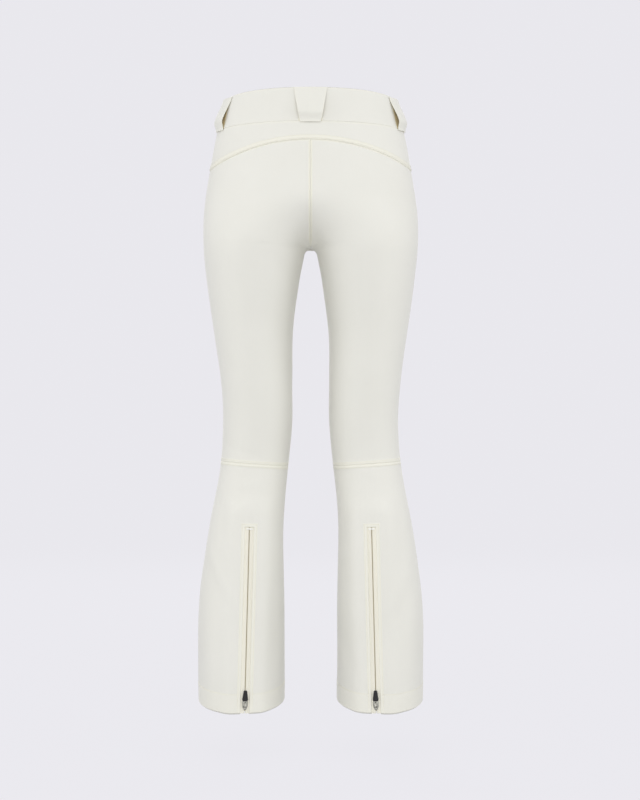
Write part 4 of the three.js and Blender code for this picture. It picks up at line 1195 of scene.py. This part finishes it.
# A round bar along a path.
def bar(path, radius, sides=10, closed=False):
    path = [Vector(p) for p in path]
    points, faces = [], []
    count = len(path)
    for i, p in enumerate(path):
        a = path[i - 1] if (i or closed) else p
        b = path[(i + 1) % count] if (i < count - 1 or closed) else p
        way = (b - a).normalized()
        side = way.orthogonal().normalized() if abs(way.z) > 0.99 else Vector((0, 0,
            1)).cross(way).normalized()
        up = way.cross(side)
        for k in range(sides):
            turn = 2 * math.pi * k / sides
            points.append(p + side * math.cos(turn) * radius + up * math.sin(turn) * radius)
    for i in range(count if closed else count - 1):
        for k in range(sides):
            a, b = i * sides, ((i + 1) % count) * sides
            n = (k + 1) % sides
            faces.append((a + k, a + n, b + n, b + k))
    if not closed:
        faces.append(tuple(range(sides))[::-1])
        faces.append(tuple((count - 1) * sides + k for k in range(sides)))
    return points, faces


def together(*pieces):
    points, faces = [], []
    for p, f in pieces:
        faces += [tuple(i + len(points) for i in face) for face in f]
        points += [tuple(v) for v in p]
    return points, faces


def tapeProfile(hand, size, half):
    face, back = -1.5, -2.0
    inner, fold = 0.6, 1.7 * size
    top = [(half, face - 0.1), (half - 0.4, face), (fold + 2.6, face), (fold + 1.2, face + 0.12),
        (fold, face + 0.16), (fold - 0.5, face + 0.02), (inner + 0.25, face - 0.35), (inner, face - 0.9)]
    under = [(inner, back - 0.9), (inner + 0.5, back - 0.9), (inner + 0.75, back - 0.25),
        (fold, back), (half, back)]
    return [(hand * x, z) for x, z in top + under][:: -hand]


def sliderOutline(size):
    end, half = sliderSize["length"] / 2 * size, sliderSize["half"] * size
    corners = [(-0.42, -1), (0.42, -1), (0.98, -0.25), (1, 0.72), (0.7, 1), (-0.7, 1),
        (-1, 0.72), (-0.98, -0.25)]
    return roundedOutline([(x * half, y * end) for x, y in corners], 1.8 * size)


# the slider's two holes, beside its middle: place, dip in the face, and the dark disc of painted shade in it
hole = dict(aside=1.75, along=-3.3, dipHalf=(0.85, 0.95), discHalf=(0.95, 1.1), discFrom=-0.5, discTo=-0.32)


# 1 inside the holes' dips and 0 outside.
def pitAt(x, y, size):
    across, down = hole["dipHalf"]
    return sum(math.exp(-(((x - hand * hole["aside"] * size) / (across * size)) ** 4)
        - ((y - hole["along"] * size) / (down * size)) ** 4) for hand in (-1, 1))


def sliderPieces(size):
    s = sliderSize
    plate, crown, end = s["plate"] * size, s["crown"] * size, s["length"] / 2 * size
    top = s["fit"] - s["tapeFace"]
    floor = -s["tapeFace"] - 0.5 - 1.6 * size - s["fit"]
    outline = sliderOutline(size)

    def upper(x, y, share):
        return top + plate - 0.35 * plate * share**8 - 0.75 * plate * pitAt(x, y, size)

    topPlate = domed(outline, 13, upper, lambda x, y, share: top)
    lowPlate = domed(outline, 4, lambda x, y, share: floor,
        lambda x, y, share: floor - plate * (1 - 0.3 * share**6))
    web = swept([(-0.3, floor + 0.1), (0.3, floor + 0.1), (0.3, top - 0.1), (-0.3, top - 0.1)][::-1],
        [-0.86 * end, -0.3 * end, 0.3 * end, 0.86 * end])
    arch = []
    for t in np.linspace(0, math.pi, 15):
        reach = 0.5 * end * math.cos(t) * (1 - 0.1 * math.sin(t))
        arch.append((0, reach, top + plate - 0.3 * size + (crown - 0.25 * size)
            * min(1, 1.25 * math.sin(t))))
    bridge = bar(arch, 0.5 * size, 10)
    wide = [(2.0 * x, y, z) for x, y, z in bridge[0]]
    return together(topPlate, lowPlate, web, (wide, bridge[1]))


linkShape = dict(wire=0.58, reach=6.2, inner=1.75)
pullShape = dict(start=6.45, end=23.7, base=4.7, tip=2.6, thick=1.0, shoulder=2.6,
    corner=1.6, ribs=(3.2, 5.2, 7.2))


def makeHardware(prefix, suffix, zipAt):
    size = zipAt["size"]
    points, faces = sliderPieces(size)
    body = closedObject(f"{prefix}_slider_metal{suffix}", placed(zipAt, points), faces, gunmetal, 42)
    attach(body, f"{prefix}_slider_body{suffix}")
    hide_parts(f"{prefix}_slider{suffix}")
    # painted shade: a dark disc sunk in each hole
    across, down = (v * size for v in hole["discHalf"])
    discs = []
    for hand in (-1, 1):
        rim = [(hand * hole["aside"] * size + across * math.cos(t),
            hole["along"] * size + down * math.sin(t))
            for t in np.linspace(0, 2 * math.pi, 24, endpoint=False)]
        discs.append(domed(rim, 3, lambda x, y, share: hole["discTo"] * size,
            lambda x, y, share: hole["discFrom"] * size))
    points, faces = together(*discs)
    dark = closedObject(f"{prefix}_slider_hole{suffix}", placed(zipAt, points), faces, shadowed, 50)
    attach(dark, f"{prefix}_slider_body{suffix}")

    reach, inner = linkShape["reach"] * size, linkShape["inner"] * size
    z = zipAt["pin"]
    side = [(-inner, 0, z), (-inner, 0.6 * reach, z), (-0.92 * inner, 0.84 * reach, z),
        (-0.6 * inner, 0.92 * reach, z)]
    path = [(0, 0, z), (-0.8 * inner, 0, z), *side,
        *((-x, y, h) for x, y, h in side[::-1]), (0.8 * inner, 0, z)]
    points, faces = bar(path, linkShape["wire"] * size, 10, closed=True)
    link = closedObject(f"{prefix}_link_metal{suffix}", placed(zipAt, points), faces, gunmetal, 50)
    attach(link, f"{prefix}_pull_body{suffix}")
    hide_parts(f"{prefix}_link{suffix}")

    start, end, base, tip, thick = (pullShape[k] * size for k in ("start", "end", "base", "tip", "thick"))
    neck, shoulder = base * 0.86, start + pullShape["shoulder"] * size
    outline = roundedOutline([(-neck, start), (neck, start), (base, shoulder), (tip, end), (-tip, end),
        (-base, shoulder)], pullShape["corner"] * size, 6)

    def grip(way):
        def height(x, y, share):
            groove = sum(math.exp(-(((y - (end - g * size)) / (0.42 * size)) ** 2))
                for g in pullShape["ribs"])
            waistline = 0.25 * math.exp(-(((y - start - 4 * size) / (2.2 * size)) ** 2))
            return z + way * (thick * (1 - 0.35 * share**5)
                - (0.28 * size * groove + waistline * size) * (share < 0.8))

        return height

    points, faces = domed(outline, 22, grip(1), grip(-1))
    tab = closedObject(f"{prefix}_pull_rubber{suffix}", placed(zipAt, points), faces, rubber, 60)
    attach(tab, f"{prefix}_pull_body{suffix}")
    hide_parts(f"{prefix}_pull{suffix}")


# One half turn of coil, to be repeated down a zip: a loop of few faces.
coil = dict(wire=0.26, beside=0.95, lead=0.35, depth=2.0, under=0.8, pitch=1.4)


def makeTooth():
    upper = [(-1.1, 0, 0.1), (-0.7, 0.1, 0.62), (0.1, 0.2, 0.7), (0.8, 0.12, 0.45)]
    lower = [(1.1, 0, 0), (0.8, -0.12, -0.45), (0.1, -0.2, -0.6), (-0.9, -0.1, -0.5)]
    points, faces = bar(upper + lower, coil["wire"], 5)
    tooth = makeObject("coil_tooth", points, faces, nylon)
    scene.collection.objects.unlink(tooth)
    return tooth


def makeStitch():
    path = [(0, -1.15, -0.12), (0, -0.8, 0.1), (0, 0, 0.2), (0, 0.8, 0.1), (0, 1.15, -0.12)]
    points, faces = bar(path, 0.24, 5)
    stitch = makeObject("stitch_shape", points, faces, thread)
    scene.collection.objects.unlink(stitch)
    return stitch


# A tree that sets copies of a shape along the edges of a mesh, turned along them and up by a normal.
def repeatTree():
    tree = bpy.data.node_groups.new("repeatAlongEdges", "GeometryNodeTree")
    face = tree.interface
    face.new_socket("Lines", in_out="INPUT", socket_type="NodeSocketGeometry")
    shape = face.new_socket("Shape", in_out="INPUT", socket_type="NodeSocketObject")
    pitch = face.new_socket("Pitch", in_out="INPUT", socket_type="NodeSocketFloat")
    finish = face.new_socket("Finish", in_out="INPUT", socket_type="NodeSocketMaterial")
    face.new_socket("Result", in_out="OUTPUT", socket_type="NodeSocketGeometry")
    given = node(tree, "NodeGroupInput")
    curve = node(tree, "GeometryNodeMeshToCurve", None, Mesh=given.outputs["Lines"])
    even = node(tree, "GeometryNodeResampleCurve", {"mode": "LENGTH"}, Curve=curve.outputs[0])
    tree.links.new(given.outputs["Pitch"], even.inputs["Length"])
    tangent = node(tree, "GeometryNodeInputTangent")
    up = node(tree, "GeometryNodeInputNamedAttribute", {"data_type": "FLOAT_VECTOR"}, Name="up")
    outward = node(tree, "FunctionNodeAlignRotationToVector", {"axis": "Z"}, Vector=up.outputs["Attribute"])
    turned = node(tree, "FunctionNodeAlignRotationToVector", {"axis": "Y", "pivot_axis": "Z"},
        Rotation=outward.outputs[0], Vector=tangent.outputs[0])
    info = node(tree, "GeometryNodeObjectInfo", None, Object=given.outputs["Shape"], As_Instance=True)
    copies = node(tree, "GeometryNodeInstanceOnPoints", None, Points=even.outputs[0],
        Instance=info.outputs["Geometry"], Rotation=turned.outputs[0])
    real = node(tree, "GeometryNodeRealizeInstances", None, Geometry=copies.outputs[0])
    coloured = node(tree, "GeometryNodeSetMaterial", None, Geometry=real.outputs[0],
        Material=given.outputs["Finish"])
    node(tree, "NodeGroupOutput", None, Result=coloured.outputs[0])
    return tree, shape.identifier, pitch.identifier, finish.identifier


repeat, shapeInput, pitchInput, finishInput = repeatTree()


# Lines is a list of (points, normals) in mm; the result is a plain mesh of repeated shapes.
def repeated(name, lines, shape, pitch, material):
    points, normals, edges = [], [], []
    for p, n in lines:
        start = len(points)
        points += [tuple(v) for v in np.asarray(p) * mm]
        normals += [tuple(v) for v in np.asarray(n)]
        edges += [(start + i, start + i + 1) for i in range(len(p) - 1)]
    mesh = bpy.data.meshes.new(name + "_lines")
    mesh.from_pydata(points, edges, [])
    mesh.attributes.new("up", "FLOAT_VECTOR", "POINT").data.foreach_set("vector",
        np.array(normals, float).ravel())
    carrier = bpy.data.objects.new(name + "_lines", mesh)
    scene.collection.objects.link(carrier)
    modifier = carrier.modifiers.new("repeat", "NODES")
    modifier.node_group = repeat
    modifier[shapeInput], modifier[pitchInput], modifier[finishInput] = shape, pitch * mm, material
    graph = bpy.context.evaluated_depsgraph_get()
    graph.update()
    result = bpy.data.meshes.new_from_object(carrier.evaluated_get(graph), depsgraph=graph)
    carrier.modifiers.remove(modifier)
    bpy.data.objects.remove(carrier)
    result.name = name
    result.shade_smooth()
    obj = bpy.data.objects.new(name, result)
    scene.collection.objects.link(obj)
    return obj


tooth, stitch = makeTooth(), makeStitch()
sides = [("_left", "left", 1), ("_right", "right", -1)]
zipKinds = [("calf_zip", 1.0, sides), ("pocket_zip", 0.75, sides), ("fly_zip", 0.6, [("", "", 1)])]
tape = dict(half=13, step=4, pastHem=2.3)  # the calf zips' tapes go down to the hem's edge
zips = {}
for prefix, size, places in zipKinds:
    for suffix, label, side in places:
        zipAt = zipFrame(prefix, suffix, size)
        zips[prefix, side] = zipAt
        half = tape["half"] * (size + 1) / 2
        low, high = zipAt["low"], zipAt["high"]
        first = 1 if zipAt["axes"][0][0] > 0 else -1
        names = ("left", "right") if prefix == "fly_zip" else (("outer", "inner") if side > 0
            else ("inner", "outer"))
        for name, hand in zip(names, (first, -first)):
            profile = tapeProfile(hand, size, half)
            start = low - (tape["pastHem"] if prefix == "calf_zip" else 0)
            along = [*np.arange(start, high, tape["step"]), high]
            points, faces = swept(profile, along)
            flatPlace = [(x, y) for x, y, z in points]
            obj = makeObject(f"{prefix}_tape_cloth_{name}{suffix}", placed(zipAt, points), faces,
                tapeCloth, uv=flatPlace)
            b = bmesh.new()
            b.from_mesh(obj.data)
            bmesh.ops.recalc_face_normals(b, faces=b.faces)
            b.to_mesh(obj.data)
            b.free()
            obj.data.set_sharp_from_angle(angle=math.radians(60))
            offset = coil["lead"] * size * hand
            beside, under = hand * coil["beside"] * size, -coil["depth"] - coil["under"] * size
            line = np.array([(beside, low + 2 + offset, under), (beside, high - 1 + offset, under)])
            way, pitch = zipAt["axes"][2], coil["pitch"] * (size + 1) / 2
            spun = repeated(f"{prefix}_coil_{name}{suffix}",
                [(placed(zipAt, line), [way, way])], tooth, pitch, nylon)
            for piece in (obj, spun):
                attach(piece, "trousers")
            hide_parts(f"{prefix}_tape_{name}{suffix}")
        makeHardware(prefix, suffix, zipAt)
print("zips ready")

# Stop bars, the strip behind each calf zip, and the snaps
stopBar = dict(half=5.6, length=2.4, height=0.9, corner=0.8, inset=3, back=dict(calf_zip=4, fly_zip=2))
for prefix, side, suffix in (("calf_zip", 1, "_left"), ("calf_zip", -1, "_right"), ("fly_zip", 1, "")):
    zipAt = zips[prefix, side]
    size = zipAt["size"]
    start = zipAt["high"] - stopBar["inset"] - stopBar["back"][prefix]
    half, end = stopBar["half"] * size, start + stopBar["length"] * size
    face, crown = sliderSize["fit"] - sliderSize["tapeFace"], stopBar["height"] * size
    corners = roundedOutline([(-half, start), (half, start), (half, end), (-half, end)],
        stopBar["corner"] * size)
    points, faces = domed(corners, 5, lambda x, y, share: face + crown * (1 - 0.5 * share**4),
        lambda x, y, share: face)
    obj = closedObject(f"{prefix}_stop_lacquer{suffix}", placed(zipAt, points), faces, enamel, 50)
    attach(obj, "trousers")
    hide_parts(f"{prefix}_stop{suffix}")

underlap = dict(half=17, depth=6.2)
for suffix, label, side in sides:
    zipAt = zips["calf_zip", side]
    low, high = zipAt["low"] + 2, zipAt["high"] + 3
    across, along = np.linspace(-underlap["half"], underlap["half"], 22), np.linspace(low, high, 90)
    v, u = np.meshgrid(along, across, indexing="ij")
    edges = np.minimum(np.minimum(v - low, high - v), underlap["half"] - np.abs(u))
    height = -underlap["depth"] - rolled(edges, 0.4, 0) + 0.2 * np.sin(v / 17) * np.sin(u / 6)
    points = placed(zipAt, np.stack([u, v, height], -1))
    normals = np.broadcast_to(zipAt["axes"][2], points.shape)
    uv = np.stack([u, v], -1)
    obj = clothObject(f"calf_zip_underlap_cloth{suffix}", points, normals, None, softshell, uv, 0 * v, 1.0)
    base = placed(zipAt, np.stack([u, v, 0 * v - underlap["depth"]], -1))
    declareCloth(obj, "trousers", [f"calf_zip_underlap{suffix}"])


def turnedSolid(profile, count=40):
    turns = [(math.cos(2 * math.pi * k / count), math.sin(2 * math.pi * k / count)) for k in range(count)]
    points = [(r * x, r * y, z) for r, z in profile for x, y in turns]
    faces = []
    for j in range(len(profile) - 1):
        for k in range(count):
            n = (k + 1) % count
            faces.append((j * count + k, j * count + n, (j + 1) * count + n, (j + 1) * count + k))
    faces += [tuple(range(count))[::-1], tuple((len(profile) - 1) * count + k for k in range(count))]
    return points, faces


# profiles as radius and height: a dished button with a rolled rim, the socket behind the tab, the stud
capProfile = [(0.05, 0.3), (5.2, 0.3), (5.9, 0.45), (6.0, 0.9), (5.85, 1.45), (5.3, 1.68),
    (4.7, 1.5), (4.2, 1.22)]
capProfile += [(2.5, 1.3), (1.0, 1.36), (0.05, 1.37)]
socketProfile = [(2.5, -3.1), (2.6, -4.25), (4.3, -4.25), (4.6, -4.0), (4.6, -3.0),
    (4.3, -2.75), (1.3, -2.72)]
socketProfile += [(1.28, 0.32), (0.05, 0.32)]
studProfile = [(0.05, -8.05), (4.0, -8.05), (4.2, -7.9), (4.2, -7.6), (1.3, -7.5),
    (1.28, -5.7), (4.0, -5.68)]
studProfile += [(4.2, -5.5), (4.0, -5.15), (1.8, -5.1), (1.7, -4.0), (2.2, -3.6), (2.0, -3.35), (0.05, -3.3)]
snaps = dict(upper=-40.0, lower=-62.0, across=9.0)
for label in ("upper", "lower"):
    z = snaps[label]
    p, n = onBody(frontAngle(snaps["across"])(z), z)
    turn = Vector((0, 0, 1)).rotation_difference(Vector(n)).to_matrix()
    spot = dict(origin=p, axes=np.array(turn).T)
    cap = together(turnedSolid(capProfile), turnedSolid(socketProfile))
    for kind, body, (points, faces) in (("cap", "waist_tab", cap),
            ("stud", "trousers", turnedSolid(studProfile))):
        obj = closedObject(f"snap_{kind}_metal_{label}", placed(spot, points), faces, gunmetal, 38)
        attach(obj, body)
        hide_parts(f"snap_{kind}_{label}")
print("snaps ready")

# Stitching: lines over the panels, each stitch lying in the dimple that it pulls


def lineOn(panel, side, start, end, count, arcOf, zOf, lift=0.12):
    t = np.linspace(start, end, count)
    sides = np.full(count, float(side))
    z = np.full(count, -500.0)
    arc = np.zeros(count)
    for _ in range(7):
        z = np.broadcast_to(zOf(t, panel, arc, z, side), t.shape).astype(float)
        total, zipArc = rowsOf(panel["table"], z)
        arc = arcOf(t, total, zipArc)
    points, _, normals, _, _ = dressed(panel, arc, z, sides, lift)
    return points, normals


def alongEdge(height, shift):
    def zOf(t, panel, arc, z, side):
        p = mirrored(panelPoint(panel, arc, z)[0], np.full(z.shape, float(side)))
        return height(p[:, 0], p[:, 1]) + shift

    return zOf


def shareArc(t, total, zipArc):
    return t * total


stitchLines = []
for side in (1, -1):
    calf, thigh, front = panels["calf", side], panels["thigh", side], panels["front", side]
    stitchLines.append(lineOn(calf, side, 0.012, 0.988, 120, shareArc, alongEdge(kneeHeight, -4.3)))
    stitchLines.append(lineOn(thigh, side, 0.012, 0.988, 120, shareArc, alongEdge(kneeHeight, 4.3)))
    for panel in (calf, front):
        stitchLines.append(lineOn(panel, side, 0.012, 0.988, 160, shareArc, alongEdge(hemHeight, 30)))
    slant = calfLine["slant"]
    for hand in (1, -1):
        offset = hand * (calfLine["half"] + 4.6)

        def besideZip(t, total, zipArc, offset=offset):
            return zipArc + offset

        def downZip(t, panel, arc, z, side, offset=offset):
            return mix(windowTop + 4.4, -1012.0, t) - slant * offset

        stitchLines.append(lineOn(calf, side, 0, 1, 200, besideZip, downZip))
    stitchLines.append(lineOn(calf, side, -1, 1, 24,
        lambda t, total, zipArc: zipArc + t * (calfLine["half"] + 4.6),
        lambda t, panel, arc, z, side: windowTop + 4.6 - slant * t * (calfLine["half"] + 4.6)))
    pocketSlant = pocketLine["slant"]
    reach = (pocketLine["half"] + 4.0) / math.cos(math.atan(pocketSlant))
    for hand in (1, -1):
        stitchLines.append(lineOn(front, side, 0, 1, 90,
            lambda t, total, zipArc, hand=hand: zipArc + hand * reach,
            lambda t, panel, arc, z, side, hand=hand: mix(pocketTop + 4, pocketEnd - 4, t)
            - pocketSlant * hand * reach))
    for height in (pocketTop + 4, pocketEnd - 4):
        stitchLines.append(lineOn(front, side, -1, 1, 16, lambda t, total, zipArc: zipArc + t * reach,
            lambda t, panel, arc, z, side, height=height: height - pocketSlant * t * reach))
    # the lapped edge of the yoke, and the rise between the two backs
    for shift in (1.7, 6.2):
        stitchLines.append(lineOn(yokePanel, side, 0.012, 0.999, 120, shareArc,
            alongEdge(yokeHeight, shift)))
    stitchLines.append(lineOn(thigh, side, 0, 1, 90, lambda t, total, zipArc: total - 2.0,
        lambda t, panel, arc, z, side: mix(-92.0, crotch + 10, t)))
    # fly: a curved double row on the wearer's right
    if side < 0:
        for inset in (34.0, 38.0):
            stitchLines.append(lineOn(front, side, 0, 1, 90,
                lambda t, total, zipArc, inset=inset: total - inset * (1 - smooth(0.72, 1.02, t) * 0.93),
                lambda t, panel, arc, z, side, inset=inset: mix(-82.0, -206.0 - inset / 3, t)))

stitches = repeated("stitches", stitchLines, stitch, 2.9, thread)
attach(stitches, "trousers")
print("stitches ready", len(stitches.data.polygons))

# Stage: a pale bowl with a level floor, so every side is seen against the same plain tone
floorAt = -1.097
stageSize = dict(flat=4.5, bend=2.5, wall=6.0, around=96)


def makeStage():
    profile = [(0.02, 0), (1, 0), (2.5, 0), (stageSize["flat"], 0)]
    profile += [(stageSize["flat"] + stageSize["bend"] * math.sin(t), stageSize["bend"] * (1 - math.cos(t)))
        for t in np.linspace(0, math.pi / 2, 12)[1:]]
    profile.append((profile[-1][0], stageSize["wall"]))
    count = stageSize["around"]
    points = [(r * math.cos(2 * math.pi * k / count) / mm, r * math.sin(2 * math.pi * k / count) / mm,
        (floorAt + h) / mm) for r, h in profile for k in range(count)]
    faces = [(j * count + k, j * count + (k + 1) % count, (j + 1) * count + (k + 1) % count,
        (j + 1) * count + k) for j in range(len(profile) - 1)
        for k in range(count)] + [tuple(range(count))[::-1]]
    # painted backdrop: plain cool grey-white, lit evenly, with only the faintest contact shadow
    m, tree, shader = newMaterial("backdropPaint", "#E9E8ED", 0.9)
    shader.inputs["Specular IOR Level"].default_value = 0.0
    shader.inputs["Emission Color"].default_value = hexColour("#EAE9EE")
    shader.inputs["Emission Strength"].default_value = 0.97
    shader.inputs["Base Color"].default_value = hexColour("#303032")
    floor = makeObject("backdrop", points, faces, m)
    floor.visible_diffuse = False


makeStage()


def addLight(name, place, target, size, power, colour="#FFFFFF"):
    data = bpy.data.lights.new(name, "AREA")
    data.shape, data.size, data.size_y, data.energy = "RECTANGLE", size[0], size[1], power
    data.color = hexColour(colour)[:3]
    light = bpy.data.objects.new(name, data)
    light.location = place
    light.rotation_euler = (Vector(target) - Vector(place)).to_track_quat("-Z", "Y").to_euler()
    scene.collection.objects.link(light)


middle = (0, 0, -0.5)
addLight("leftBank", (2.7, 0.5, 0.0), middle, (1.5, 2.8), 20)
addLight("rightBank", (-2.7, 0.5, 0.0), middle, (1.5, 2.8), 20)
addLight("overhead", (0, 2.4, 2.6), middle, (3.0, 2.2), 29)
addLight("backSoft", (0, 3.4, -0.5), (0, 0, -0.75), (3.0, 1.15), 35)
addLight("frontSoft", (0, -3.4, 1.4), middle, (2.6, 2.2), 60)
world = bpy.data.worlds.new("studio")
world.use_nodes = True
scene.world = world
world.node_tree.nodes["Background"].inputs["Color"].default_value = hexColour("#EFEFF2")
world.node_tree.nodes["Background"].inputs["Strength"].default_value = 0.62

camera = bpy.data.objects.new("camera", bpy.data.cameras.new("camera"))
camera.location = (-0.0156, 3.5, -0.513)
camera.rotation_euler = (math.radians(90), 0, math.radians(180))
camera.data.lens = 93.75
scene.collection.objects.link(camera)
scene.camera = camera
scene.view_settings.view_transform = "Standard"
print("stage ready")
